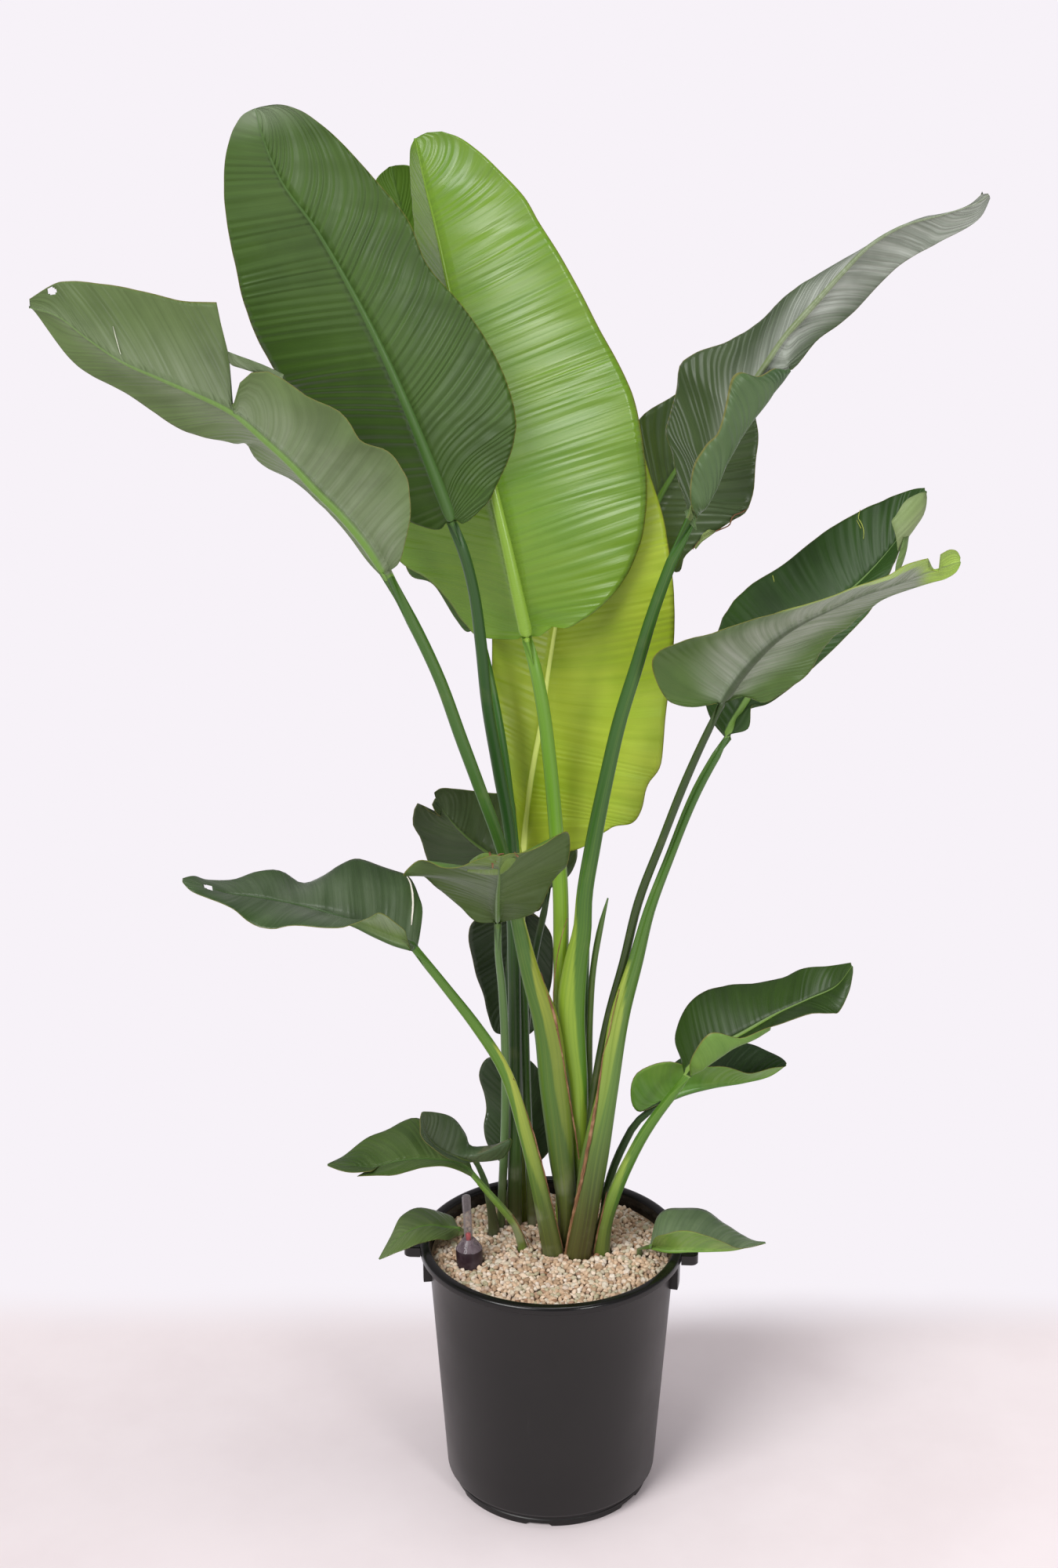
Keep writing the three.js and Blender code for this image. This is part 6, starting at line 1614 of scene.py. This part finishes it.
def notched(point):
    """Lifts the underside where a drain notch crosses the foot's edge."""
    x, y, z = point
    radius = math.hypot(x, y)
    if z > NOTCH_HEIGHT or not POT_FOOT_RADIUS - 2 <= radius <= POT_WALL_LOW_RADIUS:
        return point
    step = 360.0 / NOTCH_COUNT
    turn = (math.degrees(math.atan2(y, x)) - NOTCH_TURN + step / 2) % step - step / 2
    return (x, y, NOTCH_HEIGHT) if abs(math.radians(turn)) * radius < NOTCH_WIDTH / 2 else point


def lug_outline(inset):
    """The lug's plan, square at the root and rounded at its outer corners."""
    half, corner = LUG_WIDTH / 2 - inset, LUG_CORNER - inset
    outline = [(LUG_ROOT + inset, -half)]
    for centre_y, start in ((corner - half, -90), (half - corner, 0)):
        for k in range(LUG_CORNER_STEPS + 1):
            x, y = polar(corner, math.radians(start + 90 * k / LUG_CORNER_STEPS))
            outline.append((LUG_REACH - inset - corner + x, centre_y + y))
    return outline + [(LUG_ROOT + inset, half)]


def lug_parts():
    """The lug's block with its raised border, and the skirt rib under it."""
    low, top = LUG_TOP - LUG_THICKNESS, LUG_TOP
    block = stacked([(lug_outline(inset), height) for inset, height in (
        (LUG_BEVEL, low), (0, low + LUG_BEVEL), (0, top - LUG_BEVEL), (LUG_BEVEL, top),
        (LUG_BORDER - 0.4, top), (LUG_BORDER, top - LUG_RECESS))])
    half = math.asin(SKIRT_WIDTH / 2 / SKIRT_RADIUS)

    def arc(outer, inner, spread):
        angles = [mix(-spread, spread, k / SKIRT_STEPS) for k in range(SKIRT_STEPS + 1)]
        return [polar(outer, a) for a in angles] + [polar(inner, a) for a in reversed(angles)]

    foot = POT_LIP_FOOT - SKIRT_DROP
    root = wall_radius(foot) - 1
    skirt = stacked([
        (arc(SKIRT_RADIUS - 1, root, half - 0.006), foot),
        (arc(SKIRT_RADIUS, root, half), foot + 1),
        (arc(SKIRT_RADIUS, wall_radius(POT_LIP_FOOT) - 1, half), POT_LIP_FOOT + 0.5),
    ])
    return [block, skirt]


def turned_by(verts, degrees):
    c, s = polar(1.0, math.radians(degrees))
    return [(x * c - y * s, x * s + y * c, z) for x, y, z in verts]


def pot_plastic():
    """Satin black plastic: fine moulded grain, faint dust, soft scuffs and a
    rim polished by hands."""
    s = Shader("pot_plastic", 0.38, Specular_IOR_Level=0.44)
    place = s.object_place()
    dust = s.noise(place, 7.0, 5.0, 0.6)
    grain = s.noise(place, 900.0)
    scuffs = s.streaks(place, (30, 30, 4), 4.0, 0.7)
    base = s.layers(colour("0a0908"), ("12100f", dust, 0.4, 0.75, 1.0),
                    ("3a3635", scuffs, 0.62, 0.8, 0.25))
    edge = [POT_HEIGHT * MM - depth for depth in POLISH_DEPTH]
    polished = s.ramp(s.split(place)["Z"], *edge, 0.0, 0.16)
    gloss = s.math("SUBTRACT", s.ramp(dust, 0.3, 0.8, 0.34, 0.46), polished)
    return s.paint(Base_Color=base, Normal=s.relief((grain, 0.0001, 0.25)), Roughness=gloss)


def make_pot():
    verts, faces = revolve(pot_profile(), POT_SEGMENTS)
    parts = [([notched(v) for v in verts], faces)]
    for side in (0, 180):
        parts += [(turned_by(v, LUG_TURN + side), f) for v, f in lug_parts()]
    add_piece(edged_mesh("pot", *join(parts)), "pot_fine", ["pot"], [pot_plastic()])


# Pumice

def soil_height(x, y):
    share = math.hypot(x, y) / SOIL_RADIUS
    return SOIL_EDGE + SOIL_MOUND * max(0.0, 1 - share * share)


def pebble_shape():
    """A low 42-point ball, as directions and faces."""
    ball = bmesh.new()
    bmesh.ops.create_icosphere(ball, subdivisions=2, radius=1.0)
    ball.verts.ensure_lookup_table()
    directions = np.array([v.co[:] for v in ball.verts])
    faces = [tuple(v.index for v in f.verts) for f in ball.faces]
    ball.free()
    return directions, faces


def pumice_material():
    """Mixed grit: cream, tan, grey-green and brown grains with pores."""
    s = Shader("pumice", 0.85, Specular_IOR_Level=0.3)
    place = s.object_place()
    pores = s.noise(place, 1400.0, 3.0, 0.7)
    damp = s.noise(place, 14.0, 3.0)
    grains = s.node("ValToRGB", {0: s.attribute("kind")})
    elements = grains.color_ramp.elements
    for where, tone in GRAIN_TONES[1:-1]:
        elements.new(where).color = colour(tone)
    for end in (0, -1):
        elements[end].color = colour(GRAIN_TONES[end][1])
    base = s.layers(grains.outputs["Color"], ("6f6350", pores, 0.35, 0.7, 0.3),
                    ("6d6a50", damp, 0.55, 0.75, 0.25))
    return s.paint(Base_Color=base, Normal=s.relief((pores, 0.0006, 0.6)))


def free_of_stems(x, y):
    """Whether a granule here is clear of every stem and the indicator."""
    for data in LEAVES.values():
        sx, sy, _, width, thickness = data["stem"][0]
        if math.hypot((x - sx) / (width / 2 + STEM_CLEARANCE),
                      (y - sy) / (thickness / 2 + STEM_CLEARANCE)) < 1:
            return False
    return (math.hypot(x - INDICATOR_PLACE[0], y - INDICATOR_PLACE[1])
            > SLEEVE_RADIUS + INDICATOR_CLEARANCE)


def bed(rng):
    """The uneven ground between the granules."""
    verts = [(0.0, 0.0, soil_height(0, 0) - BED_DROP)]
    for ring in range(1, BED_RINGS + 1):
        for i in range(BED_SEGMENTS):
            x, y = polar(SOIL_RADIUS * ring / BED_RINGS, 2 * math.pi * i / BED_SEGMENTS)
            bump = rng.uniform(-BED_ROUGHNESS, BED_ROUGHNESS)
            verts.append((x, y, soil_height(x, y) - BED_DROP + bump))
    faces = []
    for i in range(BED_SEGMENTS):
        j = (i + 1) % BED_SEGMENTS
        faces.append((0, 1 + i, 1 + j))
        for a in range(1, len(verts) - BED_SEGMENTS, BED_SEGMENTS):
            b = a + BED_SEGMENTS
            faces.append((a + i, b + i, b + j, a + j))
    return verts, faces


def make_substrate():
    rng = np.random.default_rng(SOIL_SEED)
    directions, ball_faces = pebble_shape()
    parts = [bed(rng)]
    kinds = list(rng.uniform(0.0, 0.08, len(parts[0][0])))
    for k in range(GRANULE_COUNT):
        size = rng.uniform(*GRANULE_SIZES)
        radius = (SOIL_RADIUS - size - 0.5) * math.sqrt((k + 0.5) / GRANULE_COUNT)
        x, y = (c + rng.uniform(-GRANULE_SCATTER, GRANULE_SCATTER)
                for c in polar(radius, k * GOLDEN_ANGLE))
        if math.hypot(x, y) > SOIL_RADIUS - size or not free_of_stems(x, y):
            continue
        lumps = 1 + GRANULE_LUMPS * rng.standard_normal(len(directions))
        axes = np.array([rng.uniform(*limits) for limits in GRANULE_SHAPE])
        turn = np.array(Matrix.Rotation(rng.uniform(0, 6.28), 3, Vector(rng.uniform(-1, 1, 3))))
        shape = (directions * lumps[:, None] * axes * size) @ turn.T
        shape += (x, y, soil_height(x, y) + rng.uniform(*GRANULE_LIFT))
        parts.append(([tuple(p) for p in shape], ball_faces))
        kinds += [rng.uniform(0.08, 1)] * len(shape)
    foot = POT_FOOT_RADIUS - 4
    parts.append(revolve([
        (0, 3.4), (foot, 3.4), (foot, 20.5), (POT_WALL_LOW_RADIUS - POT_WALL - 1, POT_STEP + 4),
        (wall_radius(SOIL_EDGE) - POT_WALL - FIT_GAP, SOIL_EDGE - 1), (0, SOIL_EDGE - 3),
    ], BED_SEGMENTS))
    kinds += [0.2] * len(parts[-1][0])
    mesh = edged_mesh("substrate", *join(parts), sharp_degrees=50, kind=kinds)
    add_piece(mesh, "substrate_granules", ["substrate"], [pumice_material()])


# Water level indicator

def lean(verts):
    turn = Matrix.Rotation(math.radians(INDICATOR_LEAN), 3, "Y")
    return [tuple(turn @ Vector(v) + Vector(INDICATOR_PLACE)) for v in verts]


def indicator_profiles():
    """Half the sections of the casing, the tube and the float with its rod."""
    inner = SLEEVE_RADIUS - SLEEVE_WALL
    neck = TUBE_RADIUS + FIT_GAP
    casing = [
        (0, SLEEVE_FOOT), (SLEEVE_RADIUS - 1.5, SLEEVE_FOOT), (SLEEVE_RADIUS, SLEEVE_FOOT + 1.5),
        (SLEEVE_RADIUS, SLEEVE_TOP - 0.6), (SLEEVE_RADIUS - 0.4, SLEEVE_TOP + 0.1),
        (NECK_RADIUS + 0.5, CONE_TOP - 0.7), (NECK_RADIUS - 0.2, CONE_TOP), (neck, CONE_TOP),
        (neck, LEDGE_HEIGHT), (LEDGE_RADIUS, LEDGE_HEIGHT), (LEDGE_RADIUS, LEDGE_HEIGHT - 2),
        (inner, SLEEVE_TOP - 3), (inner, SLEEVE_FOOT + SLEEVE_WALL), (0, SLEEVE_FOOT + SLEEVE_WALL),
    ]
    foot, bore = LEDGE_HEIGHT + FIT_GAP, TUBE_RADIUS - TUBE_WALL
    tube = [
        (bore, foot), (TUBE_RADIUS, foot), (TUBE_RADIUS, TUBE_TOP - 3),
        (TUBE_RADIUS - 0.6, TUBE_TOP - 1.3), (TUBE_RADIUS - 2, TUBE_TOP - 0.3), (0, TUBE_TOP),
        (0, TUBE_TOP - TUBE_WALL), (bore - 1, TUBE_TOP - TUBE_WALL - 0.3),
        (bore, TUBE_TOP - TUBE_WALL - 1.6),
    ]
    rod = [
        (0, FLOAT_BOTTOM), (FLOAT_RADIUS - 1, FLOAT_BOTTOM), (FLOAT_RADIUS, FLOAT_BOTTOM + 1),
        (FLOAT_RADIUS, FLOAT_TOP - 4), (ROD_RADIUS, FLOAT_TOP), (ROD_RADIUS, TIP_BOTTOM),
        (TIP_RADIUS, TIP_BOTTOM + 0.5), (TIP_RADIUS, TIP_TOP - 2), (TIP_RADIUS - 1, TIP_TOP - 0.5),
        (TIP_RADIUS - 2.4, TIP_TOP), (0, TIP_TOP),
    ]
    return casing, tube, rod


def tinted_plastic():
    """Dark maroon plastic of the indicator's body, faintly dusty."""
    s = Shader("tinted_plastic", 0.4)
    dust = s.noise(s.object_place(), 90.0, 4.0, 0.6)
    base = s.layers(colour("2b1a20"), ("54424a", dust, 0.4, 0.75, 0.35))
    return s.paint(Base_Color=base, Normal=s.relief((dust, 0.0001, 0.2)),
                   Roughness=s.ramp(dust, 0.3, 0.8, 0.3, 0.5))


def clear_plastic(name, tone, smear_tone, clearness):
    """Thin see-through plastic with faint smears, denser towards its edges."""
    s = Shader(name, 0.1)
    smear = s.streaks(s.object_place(), (200, 200, 20), 3.0)
    base = s.layers(colour(tone), (smear_tone, smear, 0.4, 0.8, 1.0))
    facing = s.node("LayerWeight", {}).outputs["Facing"]
    return s.paint(Base_Color=base, Normal=s.relief((smear, 0.0001, 0.1)),
                   Roughness=s.ramp(smear, 0.3, 0.8, 0.08, 0.2),
                   Alpha=s.ramp(facing, 0.2, 0.95, 1 - clearness, 1.0))


def float_material():
    """White rod below, red tip above."""
    s = Shader("float_red_and_white", 0.4)
    place = s.object_place()
    seam = (INDICATOR_PLACE[2] + TIP_BOTTOM) * MM
    speckle = s.noise(place, 300.0)
    red = s.layers(colour("d0242c"), ("b3202a", speckle, 0.3, 0.8, 1.0))
    tip = s.ramp(s.split(place)["Z"], seam - 0.0005, seam + 0.0005)
    return s.paint(Base_Color=s.blend(tip, colour("e2dcd9"), red),
                   Normal=s.relief((speckle, 0.0001, 0.2)))


def make_indicator():
    casing, tube, rod = indicator_profiles()
    smoky = clear_plastic("smoky_plastic", "8b7a82", "a5979d", 0.6)
    clear = clear_plastic("clear_plastic", "8f8688", "aaa2a4", 0.84)
    for name, profile, slot, materials in (
            ("indicator_casing", casing, "indicator_tint", [tinted_plastic(), smoky]),
            ("indicator_sight_tube", tube, "sight_tube_clear", [clear]),
            ("indicator_float", rod, "float_red", [float_material()])):
        verts, faces = revolve(profile, INDICATOR_SEGMENTS)
        mesh = edged_mesh(name, lean(verts), faces)
        if smoky in materials:
            top = INDICATOR_PLACE[2] + SLEEVE_TOP
            for polygon in mesh.polygons:
                polygon.material_index = int(polygon.center.z / MM > top)
        add_piece(mesh, name + "_fine", [name], materials)


# Studio

def floor_material():
    """Pale floor round the plant that turns into an even white behind it."""
    s = Shader("studio_floor", 0.8, Specular_IOR_Level=0.0, Emission_Color=colour(BACKDROP))
    place = s.object_place()
    marks = s.noise(place, 3.0, 5.0, 0.6)
    base = s.layers(colour("faf0f1"), ("f4e9ea", marks, 0.35, 0.75, 1.0))
    edge = s.math("ADD", s.split(place)["Y"], s.times(marks, 0.06))
    away = s.node("VectorMath", {0: place}, operation="LENGTH").outputs["Value"]
    white = s.math("MAXIMUM", s.ramp(edge, *FLOOR_SHADE_END), s.ramp(away, *FLOOR_FADE))
    return s.paint(Base_Color=s.blend(white, base, (0.0, 0.0, 0.0, 1.0)),
                   Normal=s.relief((marks, 0.0005, 0.2)), Emission_Strength=white)


def make_floor():
    mesh = bpy.data.meshes.new("floor")
    mesh.from_pydata([(x * FLOOR_HALF, y * FLOOR_HALF, 0)
                      for x, y in ((-1, -1), (1, -1), (1, 1), (-1, 1))], [], [(0, 1, 2, 3)])
    mesh.materials.append(floor_material())
    floor = add_object("floor", mesh)


def make_world():
    """A white room: plain white where it is seen, and dimmer as a light."""
    world = bpy.data.worlds.new("studio")
    world.use_nodes = True
    tree = world.node_tree
    rays = tree.nodes.new("ShaderNodeLightPath").outputs
    room = tree.nodes["Background"]
    room.inputs["Color"].default_value = colour(BACKDROP)
    room.inputs["Strength"].default_value = WORLD_GLOW
    for strength, ray in ((WORLD_GLOSS, "Is Glossy Ray"), (1.0, "Is Camera Ray")):
        extra = tree.nodes.new("ShaderNodeBackground")
        extra.inputs["Color"].default_value = colour(BACKDROP)
        extra.inputs["Strength"].default_value = strength
        both = tree.nodes.new("ShaderNodeMixShader")
        for source, target in zip((rays[ray], room.outputs[0], extra.outputs[0]), both.inputs):
            tree.links.new(source, target)
        room = both
    tree.links.new(room.outputs[0], tree.nodes["World Output"].inputs[0])
    bpy.context.scene.world = world


def make_studio():
    make_floor()
    make_world()
    bpy.context.scene.view_settings.view_transform = "Standard"
    for name, (kind, place, towards, power, shape) in LIGHTS.items():
        light = bpy.data.lights.new(name, kind)
        for key, value in {"energy": power, **shape}.items():
            setattr(light, key, value)
        lamp = add_object(name, light)
        lamp.location = place
        lamp.rotation_euler = Vector(towards).to_track_quat("-Z", "Y").to_euler()
    camera = bpy.data.cameras.new("camera")
    camera.lens = CAMERA_LENS
    camera.sensor_width = 36
    camera.clip_end = 100
    eye = add_object("camera", camera)
    eye.location = [c * MM for c in CAMERA_PLACE]
    eye.rotation_euler = (math.radians(90 - CAMERA_PITCH), 0, 0)
    bpy.context.scene.camera = eye


make_studio()
make_pot()
make_substrate()
make_indicator()
for number, (leaf_name, leaf_data) in enumerate(LEAVES.items()):
    make_leaf(leaf_name, leaf_data, number)
